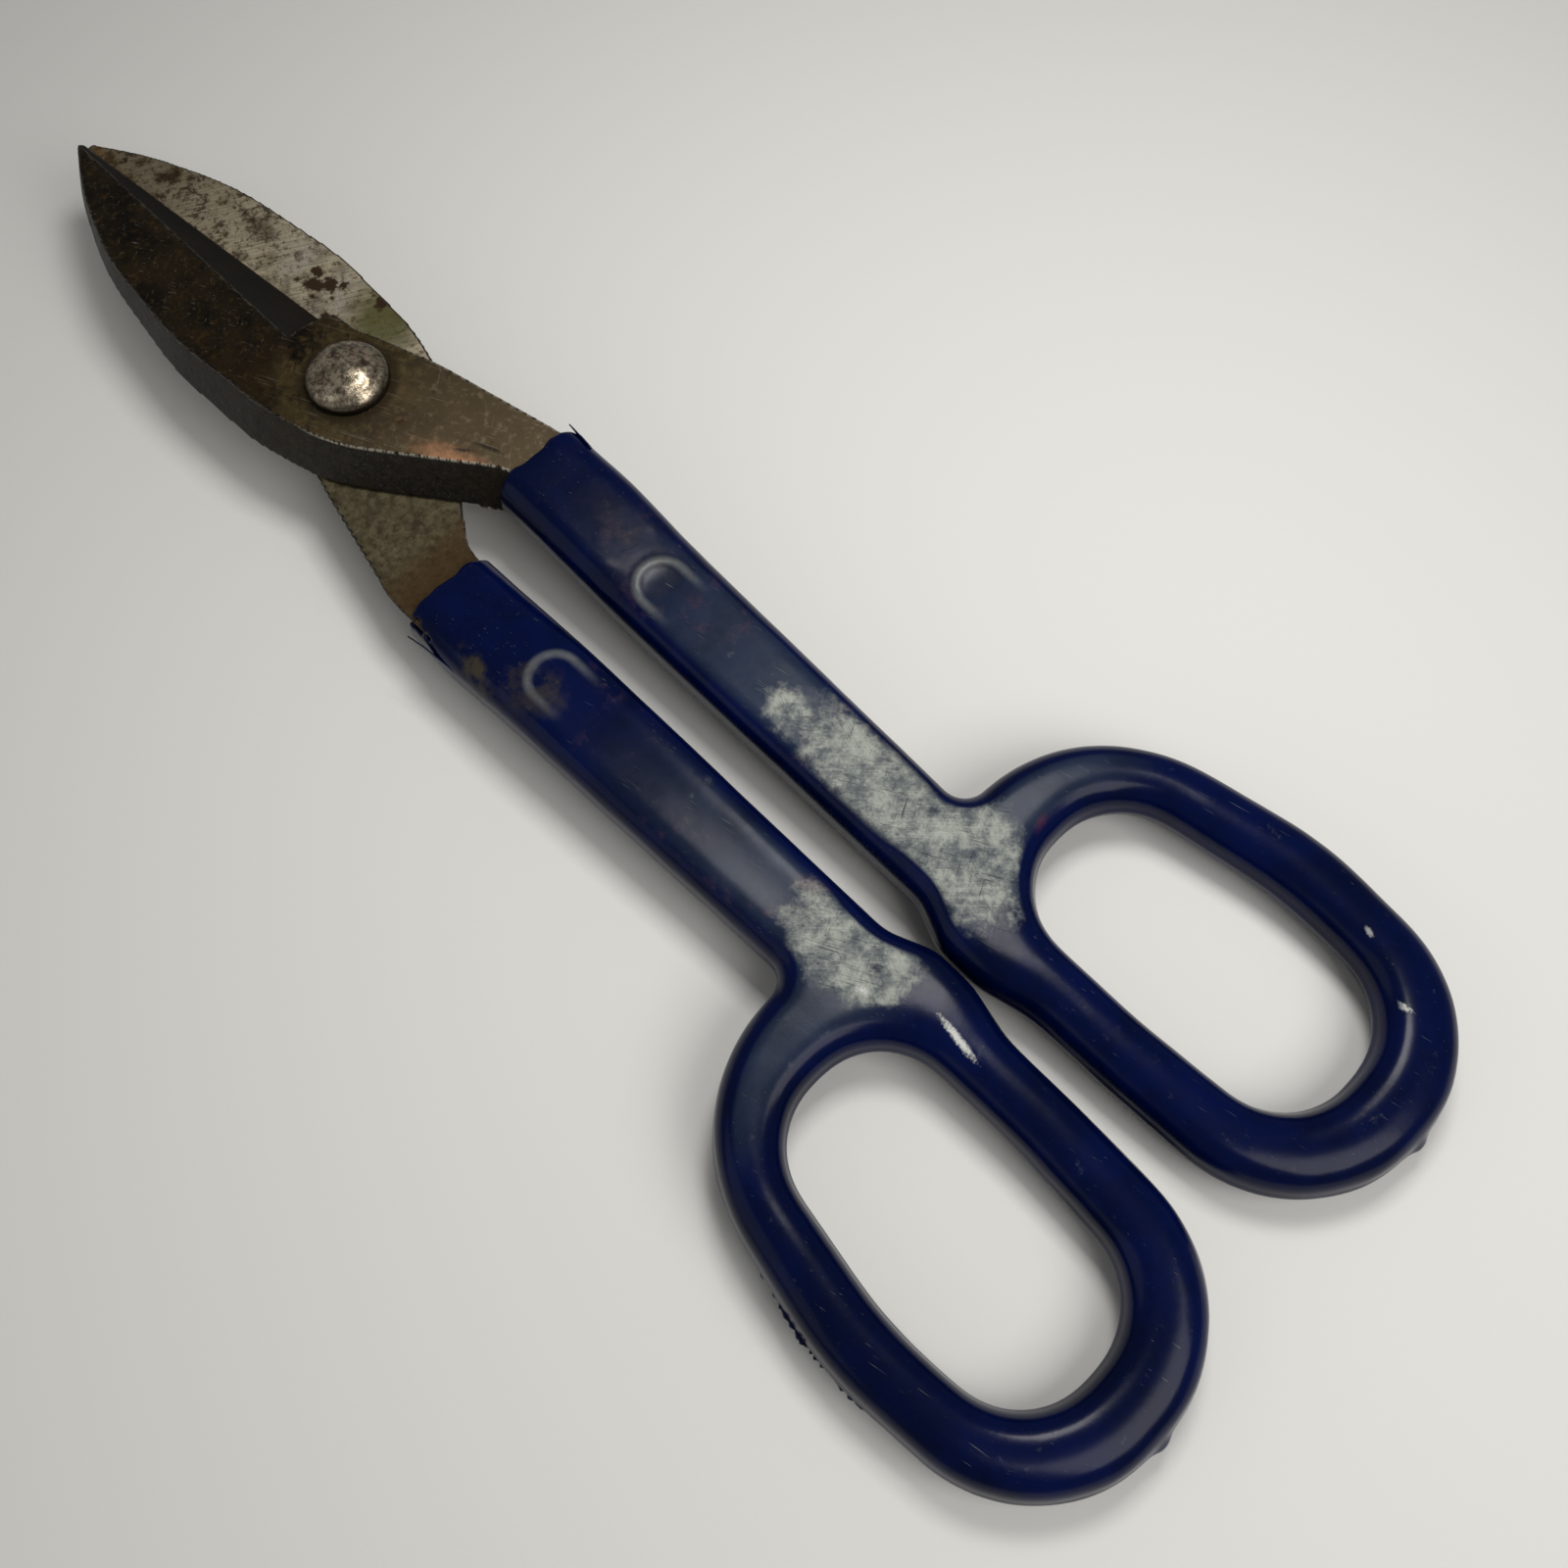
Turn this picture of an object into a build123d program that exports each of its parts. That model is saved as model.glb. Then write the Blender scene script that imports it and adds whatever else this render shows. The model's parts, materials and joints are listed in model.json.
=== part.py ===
from build123d import *
from math import hypot, radians, sin, sqrt, tan
import os

# Straight-pattern tinner's snips: two like drop-forged halves that cross at one bolt,
# with vinyl-dipped loop handles.  Millimetres and degrees.
#
# Frame: the origin is the centre of the bolt's tail end face, +Z runs up the pivot axis
# to the domed head, and +X runs from the pivot to the blade tips.
# The upper half has the back of its blade at +Y and its handle at -Y.  The lower half is
# the same forging, turned half a turn about the X axis.

# ---- driving dimensions ------------------------------------------------------------

# reach of the tool either side of the pivot axis
BLADE_REACH = 91.0        # pivot axis to the blade tip
LOOP_REACH = 228.0        # pivot axis to the far end of the finger loop

# blade, in the plan of the shear face
TIP_BLUNT = 2.2           # width of the blunt tip
EDGE_ANGLE = 5.7          # cutting edge against the X axis
HEEL_X = 15.0             # where the cutting edge ends
BLADE_BACK = 20.7         # from the X axis to the fullest part of the back
BACK_ROUND = 70.0         # radii along the back
SHOULDER_ROUND = 40.0

# thickness of each half
HALF_THICK = 8.6          # at the pivot
TIP_THICK = 1.9           # at the tip
EDGE_LAND = 1.1           # upright land left below the bevel along the cutting edge
BEVEL_ANGLE = 38.0        # bevel against the shear face
BACK_DRAFT = 25.0         # draft of the back and of the inner side of the shank
OUTER_DRAFT = 13.0        # draft of the outer side of the shank
SHEAR_GAP = 0.06          # between the two shear faces

# pivot
BOSS_RADIUS = 16.0        # flat round the bolt head, where the bevel stops
BOLT_RADIUS = 4.75
NECK_DEPTH = 5.0          # square neck below the head
PIVOT_CLEARANCE = 0.05    # radial, bolt in the lower half, and each side of the neck
HEAD_OVERHANG = 3.25      # head beyond the bolt all round
HEAD_RIM = 1.8            # upright rim of the head
HEAD_DOME = 3.4           # dome above the rim
WASHER_OVERHANG = 4.25
WASHER_THICK = 1.2
WASHER_PLAY = 0.15        # radial, washer on the bolt
NUT_WALL = 2.4            # bolt to the middle of a flat
NUT_HEX = 4.8             # height of the hexagon
NUT_CHAMFER = 0.5
COLLAR_HEIGHT = 1.8       # round collar that holds the lock ring
COLLAR_WALL = 0.7
RING_THICK = 1.0
RING_HEIGHT = 1.4
THREAD_CLEARANCE = 0.02   # radial, nut and ring on the bolt
TAIL_PROUD = 0.8          # bolt end beyond the nut
TAIL_CHAMFER = 0.5

# shank and its joggle, which brings the handle to the middle of the tool
SHANK_OUT = 13.4          # outer side of the shank beside the pivot
SHANK_IN = 15.2           # inner side of the shank where the back ends
SHANK_STEP = 0.7          # from the coat's outer side in to the bare shank
JOGGLE_START = 37.0       # distances behind the pivot
JOGGLE_END = 70.0
JOGGLE_ROUND = 90.0       # radius of its two bends

# handle, coat included
GRIP_THICK = 12.4
COAT = 1.7                # thickness of the vinyl coat
GRIP_EDGE = 5.0           # rounding of the coat
HANDLE_IN = 4.0           # inner side, from the middle of the tool
HANDLE_WIDTH = 20.2       # at its fullest
HANDLE_FULL = 53.0        # distance behind the pivot where it is fullest
HANDLE_TAPER = 3.1        # how much narrower it is where it meets the loop
DIP_NARROWING = 0.8       # how much narrower it is at the dip line
UPPER_DIP_LINE = 37.0     # where the coat starts, behind the pivot
LOWER_DIP_LINE = 41.5
NOTCH_ROUND = 4.5         # where the handle's outer side meets the loop

# finger loop, coat included
HOLE_LENGTH = 61.0
HOLE_WIDTH = 33.4
LOOP_SIDE = 11.7          # width of the loop beside the hole
LOOP_END = 13.3           # width of the loop before and behind the hole
LOOP_IN = 2.9             # inner side of the loop, from the middle of the tool
LOOP_FALL = 8.6           # how far the outer side has fallen in at the front corner
HOLE_FALL = 5.4           # the same for the hole
REAR_FALL = 3.2           # fall of both sides at the rear corners
SIDE_ROUND = 60.0         # radius of the loop's long sides
STOP_GAP = 0.5            # between the two stop lugs when the tool is closed
STOP_LENGTH = 8.5         # length of the lugs' meeting faces
STOP_SETBACK = 16.6       # middle of those faces, behind the front of the loop

# panel pressed into both faces of the handle
PANEL_WIDTH = 8.8
PANEL_DEPTH = 0.6
PANEL_START = 68.0        # distance behind the pivot
PANEL_SETBACK = 6.4       # from its end to the front of the loop

# drip left by the dipping at the far end of the loop
DRIP_RADIUS = 2.2
DRIP_PROUD = 1.3

# ---- sizes worked out from them ---------------------------------------------------

CORE_HALF = GRIP_THICK / 2 - COAT
OUTER_FACE = HALF_THICK + SHEAR_GAP / 2
NUT_TOP = -OUTER_FACE - WASHER_THICK
TAIL_END = NUT_TOP - NUT_HEX - COLLAR_HEIGHT - TAIL_PROUD
LOOP_WIDTH = HOLE_WIDTH + 2 * LOOP_SIDE
LOOP_LENGTH = HOLE_LENGTH + 2 * LOOP_END
LOOP_FRONT = LOOP_LENGTH - LOOP_REACH
LOOP_OUT = LOOP_IN + LOOP_WIDTH
HEAD_RADIUS = BOLT_RADIUS + HEAD_OVERHANG
RING_BORE = BOLT_RADIUS + THREAD_CLEARANCE
RING_RADIUS = RING_BORE + RING_THICK
COLLAR_RADIUS = RING_RADIUS + COLLAR_WALL
DEEP = 4 * HALF_THICK     # taller than any piece, for cutters


# ---- plan outlines ------------------------------------------------------------------

def rounded_face(corners):
    """Face inside straight runs through the corners (x, y, radius), given anticlockwise."""
    edges = []
    first = None
    last = None
    count = len(corners)
    for i in range(count):
        x, y, radius = corners[i]
        here = Vector(x, y)
        back = Vector(*corners[i - 1][:2]) - here
        ahead = Vector(*corners[(i + 1) % count][:2]) - here
        if radius > 0:
            half = radians(back.get_angle(ahead)) / 2
            reach = radius / tan(half)
            start = here + back.normalized() * reach
            end = here + ahead.normalized() * reach
            inward = (back.normalized() + ahead.normalized()).normalized()
            middle = here + inward * (radius / sin(half) - radius)
            arc = ThreePointArc(start, middle, end)
        else:
            start = here
            end = here
            arc = None
        if last is not None:
            edges.append(Line(last, start))
        if arc is not None:
            edges.append(arc)
        if first is None:
            first = start
        last = end
    edges.append(Line(last, first))
    return make_face(edges)


def moved_sides(corners, insets):
    """The corners after side i, from corner i to the next one, moves inwards by insets[i]."""
    count = len(corners)
    lines = []
    for i in range(count):
        x0, y0, _ = corners[i]
        x1, y1, _ = corners[(i + 1) % count]
        length = hypot(x1 - x0, y1 - y0)
        nx = -(y1 - y0) / length
        ny = (x1 - x0) / length
        lines.append((nx, ny, nx * x0 + ny * y0 + insets[i]))
    moved = []
    for i in range(count):
        a0, b0, c0 = lines[i - 1]
        a1, b1, c1 = lines[i]
        det = a0 * b1 - a1 * b0
        x = (c0 * b1 - c1 * b0) / det
        y = (a0 * c1 - a1 * c0) / det
        radius = corners[i][2]
        if radius > 0:
            inset = (insets[i - 1] + insets[i]) / 2
            radius = radius - inset if det > 0 else radius + inset
        moved.append((x, y, radius))
    return moved


def blade_corners(shank_end):
    """Blade and bare shank of the upper half at the shear face, anticlockwise from the point
    past the blunt tip where the back and the cutting edge would meet."""
    edge_slope = tan(radians(EDGE_ANGLE))
    edge_drop = (BLADE_REACH - HEEL_X) * edge_slope
    back = BLADE_BACK
    curve_x = 0.88 * BLADE_REACH
    curve_y = 0.43 * back
    back_slope = (TIP_BLUNT - curve_y) / (BLADE_REACH - curve_x)
    past_tip = TIP_BLUNT / (edge_slope - back_slope)
    inner = -HANDLE_IN - COAT
    outer = -HANDLE_IN - HANDLE_WIDTH + COAT
    bare = -HANDLE_IN - HANDLE_WIDTH + DIP_NARROWING + SHANK_STEP
    return [
        (BLADE_REACH + past_tip, past_tip * edge_slope, 0),
        (curve_x, curve_y, BACK_ROUND),
        (0.67 * BLADE_REACH, 0.80 * back, BACK_ROUND),
        (0.35 * BLADE_REACH, back, BACK_ROUND),
        (0.5 * BOSS_RADIUS, back - 1.1, SHOULDER_ROUND),
        (-0.63 * BOSS_RADIUS, SHANK_IN, SHOULDER_ROUND),
        (-JOGGLE_START - 1.5, inner, 12.0),
        (-shank_end, inner, 0),
        (-shank_end, outer, 0),
        (-JOGGLE_START, bare, 20.0),
        (-0.5 * BOSS_RADIUS, -SHANK_OUT - 2.9, 60.0),
        (0.34 * BOSS_RADIUS, 1.8 - SHANK_OUT, 40.0),
        (HEEL_X, -edge_drop, 4.0),
    ]


def handle_corners(dip_line):
    """Handle and loop of the lower half, coat included, which lies at +Y."""
    handle_out = HANDLE_IN + HANDLE_WIDTH
    lug = STOP_GAP / 2
    lug_front = LOOP_FRONT - STOP_SETBACK + STOP_LENGTH / 2
    lug_rear = lug_front - STOP_LENGTH
    widest = LOOP_FRONT - 0.52 * LOOP_LENGTH
    return [
        (-dip_line, HANDLE_IN, 0),
        (-dip_line, handle_out - DIP_NARROWING, 0),
        (-HANDLE_FULL, handle_out, SIDE_ROUND),
        (LOOP_FRONT + 1.6, handle_out - HANDLE_TAPER, NOTCH_ROUND),
        (LOOP_FRONT, LOOP_OUT - LOOP_FALL, 0.55 * LOOP_WIDTH),
        (widest, LOOP_OUT + 0.4, SIDE_ROUND),
        (-LOOP_REACH, LOOP_OUT - REAR_FALL, 0.45 * LOOP_WIDTH),
        (-LOOP_REACH, LOOP_IN + 0.5 * REAR_FALL, 0.46 * LOOP_WIDTH),
        (widest, LOOP_IN, SIDE_ROUND),
        (lug_rear - 10.0, LOOP_IN, 15.0),
        (lug_rear, lug, 7.0),
        (lug_front, lug, 4.0),
        (lug_front + 8.0, HANDLE_IN - 0.2, 12.0),
        (-HANDLE_FULL, HANDLE_IN + 0.1, SIDE_ROUND),
    ]


def hole_corners():
    """Finger hole of the lower half, coat included."""
    front = LOOP_FRONT - LOOP_END
    rear = front - HOLE_LENGTH
    inside = LOOP_IN + LOOP_SIDE
    outside = inside + HOLE_WIDTH
    full = 0.43 * HOLE_WIDTH
    return [
        (front, inside + 0.1, 0.41 * HOLE_WIDTH),
        (front, outside - HOLE_FALL, full),
        (front - 0.56 * HOLE_LENGTH, outside + 0.2, SIDE_ROUND),
        (rear, outside - 0.6 * REAR_FALL, full),
        (rear, inside + 0.6 * REAR_FALL, full),
        (front - 0.48 * HOLE_LENGTH, inside - 0.1, SIDE_ROUND),
    ]


def handle_plan(dip_line, inset):
    """Plan of the handle and loop with every side moved in by the inset."""
    outer = handle_corners(dip_line)
    hole = hole_corners()
    sides = [0] + [inset] * (len(outer) - 1)
    outline = rounded_face(moved_sides(outer, sides))
    opening = rounded_face(moved_sides(hole, [-inset] * len(hole)))
    return outline - opening


# ---- one half of the tool -----------------------------------------------------------

def side_band(extra):
    """Side view of the upper half between its two faces, grown by extra above and below."""
    beyond = 10.0
    top = HALF_THICK + extra
    core = CORE_HALF + extra
    rear = -LOOP_REACH - beyond
    profile = rounded_face([
        (BLADE_REACH, -extra, 0),
        (BLADE_REACH, TIP_THICK + extra, 0),
        (BOSS_RADIUS, top, 0),
        (-JOGGLE_START, top, JOGGLE_ROUND),
        (-JOGGLE_END, core, JOGGLE_ROUND),
        (rear, core, 0),
        (rear, -core, 0),
        (-JOGGLE_END, -core, JOGGLE_ROUND),
        (-JOGGLE_START, -extra, JOGGLE_ROUND),
    ])
    band = extrude(Plane.XZ * profile, amount=LOOP_REACH, both=True)
    return Pos(0, 0, SHEAR_GAP / 2) * band


def blade_and_shank():
    """Drafted body of blade and bare shank, before its faces are cut to the side view."""
    shank_end = JOGGLE_END - 8.0
    shear = blade_corners(shank_end)
    back = HALF_THICK * tan(radians(BACK_DRAFT))
    outer = HALF_THICK * tan(radians(OUTER_DRAFT))
    insets = [back] * 7 + [0] + [outer] * 4 + [0]
    face = moved_sides(shear, insets)
    low = rounded_face(shear)
    high = Pos(0, 0, HALF_THICK) * rounded_face(face)
    body = loft([low, high], ruled=True)
    skirt = extrude(low, amount=-CORE_HALF)
    return Pos(0, 0, SHEAR_GAP / 2) * (body + skirt)


def bevel_cutter():
    """What the grinding of the cutting edge takes off, outside the pivot boss."""
    run = BLADE_REACH + HEEL_X
    rise = run * tan(radians(BEVEL_ANGLE))
    top = EDGE_LAND + rise
    corners = [(0, EDGE_LAND), (run, top), (-run, top), (-run, EDGE_LAND)]
    section = make_face(Polyline(*corners, close=True))
    wedge = extrude(Plane.YZ * section, amount=run, both=True)
    wedge = Pos(BLADE_REACH, 0, SHEAR_GAP / 2) * Rot(0, 0, EDGE_ANGLE) * wedge
    boss = Cylinder(BOSS_RADIUS, 2 * DEEP)
    keep = Pos(-BLADE_REACH, 0, 0) * Box(2 * BLADE_REACH + BOSS_RADIUS, 4 * BLADE_BACK, 2 * DEEP)
    return wedge - boss - keep


def half_forging(dip_line):
    """Upper half: blade, shank and the handle core that the coat covers."""
    core_plan = mirror(handle_plan(dip_line + COAT, COAT), about=Plane.XZ)
    core = extrude(core_plan, amount=DEEP, both=True)
    body = (blade_and_shank() + core) & side_band(0)
    return body - bevel_cutter()


def neck_hole():
    """Square hole for the bolt's neck, open at the outer face, with a round hole below it."""
    side = 2 * (BOLT_RADIUS + PIVOT_CLEARANCE)
    square = Pos(0, 0, OUTER_FACE) * Box(side, side, 2 * (NECK_DEPTH + PIVOT_CLEARANCE))
    return square + round_hole()


def round_hole():
    """Running fit for the bolt."""
    return Cylinder(BOLT_RADIUS + PIVOT_CLEARANCE, 2 * DEEP)


def panel_cutter():
    """Panel with rounded ends, pressed into both faces of the upper handle."""
    middle = -HANDLE_IN - (HANDLE_WIDTH - 0.7 * HANDLE_TAPER) / 2
    end = LOOP_FRONT + PANEL_SETBACK
    reach = -PANEL_START - end - PANEL_WIDTH
    panel = Pos((end - PANEL_START) / 2, middle) * SlotCenterToCenter(reach, PANEL_WIDTH)
    face = GRIP_THICK / 2 - PANEL_DEPTH
    upper = Pos(0, 0, face + SHEAR_GAP / 2) * extrude(panel, amount=DEEP)
    lower = Pos(0, 0, -face + SHEAR_GAP / 2) * extrude(panel, amount=-DEEP)
    return upper + lower


def drip():
    """Nub of vinyl at the far end of the upper loop."""
    middle = -(LOOP_IN + LOOP_OUT) / 2
    return Pos(DRIP_RADIUS - DRIP_PROUD - LOOP_REACH, middle, SHEAR_GAP / 2) * Sphere(DRIP_RADIUS)


def half_grip(dip_line, forging):
    """Vinyl coat of the upper half, hollow where the forging fills it."""
    plan = mirror(handle_plan(dip_line, 0), about=Plane.XZ)
    coat = extrude(plan, amount=DEEP, both=True) & side_band(COAT)
    rims = [edge for edge in coat.edges() if not is_straight_across(edge)]
    coat = fillet(rims, GRIP_EDGE) + drip()
    return coat - panel_cutter() - forging


def is_straight_across(edge):
    """True for an edge along Z, or one that lies across the handle at a bend or at its start."""
    size = edge.bounding_box().size
    return size.X < 0.001


# ---- pivot --------------------------------------------------------------------------

def stacked(shape, low, height):
    """A shape centred on the pivot axis, lifted so that its lower end is at the height low."""
    return Pos(0, 0, low + height / 2) * shape


def pivot_bolt():
    """Bolt with a domed head without a drive, a square neck and a chamfered tail."""
    ball = (HEAD_RADIUS**2 + HEAD_DOME**2) / (2 * HEAD_DOME)
    rim_top = OUTER_FACE + HEAD_RIM
    dome = Pos(0, 0, rim_top + HEAD_DOME - ball) * Sphere(ball)
    above = stacked(Cylinder(2 * ball, ball), rim_top, ball)
    rim = stacked(Cylinder(HEAD_RADIUS, HEAD_RIM), OUTER_FACE, HEAD_RIM)
    neck = Box(2 * BOLT_RADIUS, 2 * BOLT_RADIUS, NECK_DEPTH)
    neck = stacked(neck, OUTER_FACE - NECK_DEPTH, NECK_DEPTH)
    shank = Cylinder(BOLT_RADIUS, OUTER_FACE - TAIL_END)
    shank = chamfer(shank.edges().group_by(Axis.Z)[0], TAIL_CHAMFER)
    shank = stacked(shank, TAIL_END, OUTER_FACE - TAIL_END)
    return shank + neck + rim + (dome & above)


def thrust_washer():
    """Flat washer between the nut and the lower half."""
    ring = Cylinder(BOLT_RADIUS + WASHER_OVERHANG, WASHER_THICK)
    ring -= Cylinder(BOLT_RADIUS + WASHER_PLAY, 2 * WASHER_THICK)
    return stacked(ring, NUT_TOP, WASHER_THICK)


def pivot_nut():
    """Hexagon nut with chamfered corners and a round collar, bored for the bolt."""
    flat = BOLT_RADIUS + NUT_WALL
    turned = Cylinder(2 * flat / sqrt(3), NUT_HEX)
    turned = chamfer(turned.edges().filter_by(GeomType.CIRCLE), NUT_CHAMFER, 2 * NUT_CHAMFER)
    hexagon = extrude(RegularPolygon(flat, 6, major_radius=False), amount=NUT_HEX, both=True)
    nut = stacked(turned & hexagon, NUT_TOP - NUT_HEX, NUT_HEX)
    collar_end = NUT_TOP - NUT_HEX - COLLAR_HEIGHT
    collar = stacked(Cylinder(COLLAR_RADIUS, COLLAR_HEIGHT), collar_end, COLLAR_HEIGHT)
    pocket = Pos(0, 0, collar_end) * Cylinder(RING_RADIUS, 2 * RING_HEIGHT)
    return nut + collar - pocket - Cylinder(RING_BORE, 2 * DEEP)


def nut_lock_ring():
    """Nylon ring that grips the bolt, inside the nut's collar."""
    ring = Cylinder(RING_RADIUS, RING_HEIGHT) - Cylinder(RING_BORE, 2 * RING_HEIGHT)
    return stacked(ring, NUT_TOP - NUT_HEX - COLLAR_HEIGHT, RING_HEIGHT)


# ---- the whole tool -----------------------------------------------------------------

def main():
    over = Rot(180, 0, 0)
    upper = half_forging(UPPER_DIP_LINE)
    lower = half_forging(LOWER_DIP_LINE)
    pieces = {
        "upper_forging": upper - neck_hole(),
        "lower_forging": over * (lower - round_hole()),
        "upper_grip": half_grip(UPPER_DIP_LINE, upper),
        "lower_grip": over * half_grip(LOWER_DIP_LINE, lower),
        "pivot_bolt": pivot_bolt(),
        "thrust_washer": thrust_washer(),
        "pivot_nut": pivot_nut(),
        "nut_lock_ring": nut_lock_ring(),
    }
    os.makedirs("parts", exist_ok=True)
    for name, piece in pieces.items():
        export_step(Pos(0, 0, -TAIL_END) * piece, f"parts/{name}.step")
    print("shear plane above the tail end:", round(-TAIL_END, 3))
    print("bolt head above the tail end:", round(OUTER_FACE + HEAD_RIM + HEAD_DOME - TAIL_END, 3))


main()
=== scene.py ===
"""Tinner's snips: the forged halves, the pivot hardware and the dipped grips, dressed around
the packed solids.  Numbers in this file are millimetres, apart from the stage's places, which
are metres; MM turns the one into the other."""

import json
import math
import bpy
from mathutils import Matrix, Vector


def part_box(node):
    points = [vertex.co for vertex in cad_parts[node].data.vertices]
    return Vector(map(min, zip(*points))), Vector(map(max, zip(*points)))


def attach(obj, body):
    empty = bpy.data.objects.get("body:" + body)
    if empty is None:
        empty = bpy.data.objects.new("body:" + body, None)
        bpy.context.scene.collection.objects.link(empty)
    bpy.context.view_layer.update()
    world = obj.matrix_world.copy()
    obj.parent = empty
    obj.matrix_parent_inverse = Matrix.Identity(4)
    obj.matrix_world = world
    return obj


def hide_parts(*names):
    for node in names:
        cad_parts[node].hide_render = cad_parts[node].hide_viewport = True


bl_info = {
    "name": "Tin Snips",
    "version": (1, 0, 0),
    "blender": (4, 5, 0),
    "location": "View3D > Sidebar > Tin Snips",
    "description": "Builds worn, vinyl-dipped tinner's snips around a packed frame",
    "category": "Add Mesh",
}

from functools import reduce

import bmesh
import bpy
import numpy as np
from mathutils import Matrix
from mathutils.bvhtree import BVHTree
from mathutils.kdtree import KDTree

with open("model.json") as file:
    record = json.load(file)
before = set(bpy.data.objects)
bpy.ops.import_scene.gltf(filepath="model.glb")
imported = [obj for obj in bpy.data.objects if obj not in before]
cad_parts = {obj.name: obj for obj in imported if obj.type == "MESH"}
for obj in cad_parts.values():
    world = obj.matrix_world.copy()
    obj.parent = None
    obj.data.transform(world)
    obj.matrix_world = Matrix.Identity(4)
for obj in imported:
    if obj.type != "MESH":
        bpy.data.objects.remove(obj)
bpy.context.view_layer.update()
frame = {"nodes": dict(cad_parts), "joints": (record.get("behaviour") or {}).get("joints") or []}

MM = 0.001
CREASE = math.radians(30)  # a sharper turn between CAD faces is an edge
CREASE_STEP = 0.12         # spacing of the points laid along such an edge
SNAP = 0.72                # share of a mesh cell within which a vertex is drawn onto an edge
SNAP_ROUNDS = 3            # how often vertices are drawn on and the rest smoothed
HIDDEN_STEEL = 9.0         # steel kept at full detail inside a grip
NESTED = 0.9               # how near the coat's inner skin lies to the steel
LOOP_START = (-146, -156)  # x over which a handle turns into its loop
LUG = -157                 # x of the stop lug on the loop
RIDGE_START = (-136, -150)  # x over which the parting ridge rises
ROUNDING = 0.36            # share of a smoothing step that rounds the loops
CORE_PASSES = 80           # smoothing steps that round the steel inside the loops
OUTSIDE = 80               # further from the middle than either coat, for rays to start at
SHANK = 4.75               # radius of the bolt
BORE = 4.78                # radius of the bore of the nut and its ring
BLADE_TIP = 91             # x of the tip
EDGE_SLANT = 0.0998        # how far the cutting edge moves aside for each millimetre of x

# panel pressed into the handles: middle of its length, half its straight run, its distance
# from the middle of the tool, and the radius of its ends
PANEL_CENTRE = -101.0
PANEL_REACH = 28.6
PANEL_MIDDLE = 13.0
PANEL_RADIUS = 4.4

RIM_OUT = 0.4              # how far outside the panel's outline its bead runs
BEAD_WIDTH = 0.95          # half the bead's width
BEAD_END = (-80, -71)      # x over which the bead rises at the front of the panel


def node_box(node):
    """Lowest and highest corner of a CAD node, in millimetres."""
    low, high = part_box(node)
    return np.array(low) / MM, np.array(high) / MM


# ---- places that the frame gives

GRIP_REAR = node_box("upper_grip")[0][0]
BOLT_HIGH = node_box("pivot_bolt")[1]
WASHER_LOW, WASHER_HIGH = node_box("thrust_washer")
NUT_LOW, NUT_HIGH = node_box("pivot_nut")
RING_LOW, RING_HIGH = node_box("nut_lock_ring")
SHEAR_Z = frame["joints"][0]["pos_m"][2] / MM
OUTER_TOP = node_box("upper_forging")[1][2]


# ---- settings

def shade(red, green, blue):
    """Linear colour of an 8-bit display colour."""
    def linear(value):
        value /= 255
        return value / 12.92 if value <= 0.04045 else ((value + 0.055) / 1.055) ** 2.4
    return linear(red), linear(green), linear(blue)


def colour(name, description, red, green, blue):
    """Colour property, given by its display colour."""
    return bpy.props.FloatVectorProperty(
        name=name, description=description, subtype="COLOR", size=3, min=0, max=1,
        default=shade(red, green, blue))


def length(name, description, millimetres):
    """Length property, stored in metres."""
    return bpy.props.FloatProperty(
        name=name, description=description, unit="LENGTH", subtype="DISTANCE", min=0,
        precision=5, default=millimetres * MM)


def amount(name, description, value):
    """Plain factor."""
    return bpy.props.FloatProperty(name=name, description=description, min=0, default=value)


class SteelSettings(bpy.types.PropertyGroup):
    """Forged halves."""
    cell: length("Mesh size", "Size of the forging's mesh cells", 0.42)
    edge_round: amount("Edge rounding", "Smoothing passes after each snap to the edges", 3)
    scale_depth: length("Scale depth", "Depth of the forged surface's unevenness", 0.06)
    nick_depth: length("Nick depth", "Depth of the nicks along worn edges", 0.10)
    brown: colour("Brown patina", "Aged outer face", 44, 34, 18)
    dark: colour("Dark patina", "Darkest oxide", 17, 12, 6)
    grey: colour("Forged grey", "Sides and rough faces", 52, 48, 42)
    bevel: colour("Bevel", "Ground bevel along the cutting edge", 15, 11, 7)
    bright: colour("Bare steel", "Ground shear face", 204, 192, 164)
    worn: colour("Worn edge", "Steel rubbed bright along edges", 214, 206, 188)
    rust: colour("Rust", "Rust spots", 52, 36, 19)
    ochre: colour("Stain", "Yellow-brown oil stain", 88, 66, 30)
    copper: colour("Heat tint", "Pinkish rubbed patch on the shank", 206, 150, 112)
    olive: colour("Grime", "Olive grime beside the pivot", 96, 94, 50)


class GripSettings(bpy.types.PropertyGroup):
    """Dipped grips."""
    cell: length("Mesh size", "Size of the coat's mesh cells", 0.55)
    soft_passes: amount("Softness", "Smoothing passes over the loops and the pressed panels", 60)
    wave_depth: length("Waviness", "Unevenness of the dipped coat", 0.09)
    ridge_height: length("Ridge height", "Parting ridge round the loops", 0.42)
    ridge_width: length("Ridge width", "Half the width of the parting ridge", 0.85)
    bead_height: length("Bead height", "Soft bead round the front of the pressed panels", 0.20)
    vinyl: colour("Vinyl", "Navy vinyl", 1, 13, 60)
    deep: colour("Deep vinyl", "Darker navy in hollows", 0, 8, 41)
    scuff: colour("Scuffs", "Rubbed grey film on the flats", 162, 166, 157)
    # the haze colour is partly a real film and partly painted sheen from the lamp's reflection on
    # the flats
    haze: colour("Haze", "Thin grey-green film", 50, 62, 74)
    grime: colour("Grime", "Brown-green dirt", 62, 56, 42)
    plum: colour("Plum haze", "Reddish film", 78, 56, 72)
    chip: colour("Paint", "Flecks of pale paint", 205, 207, 202)


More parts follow.
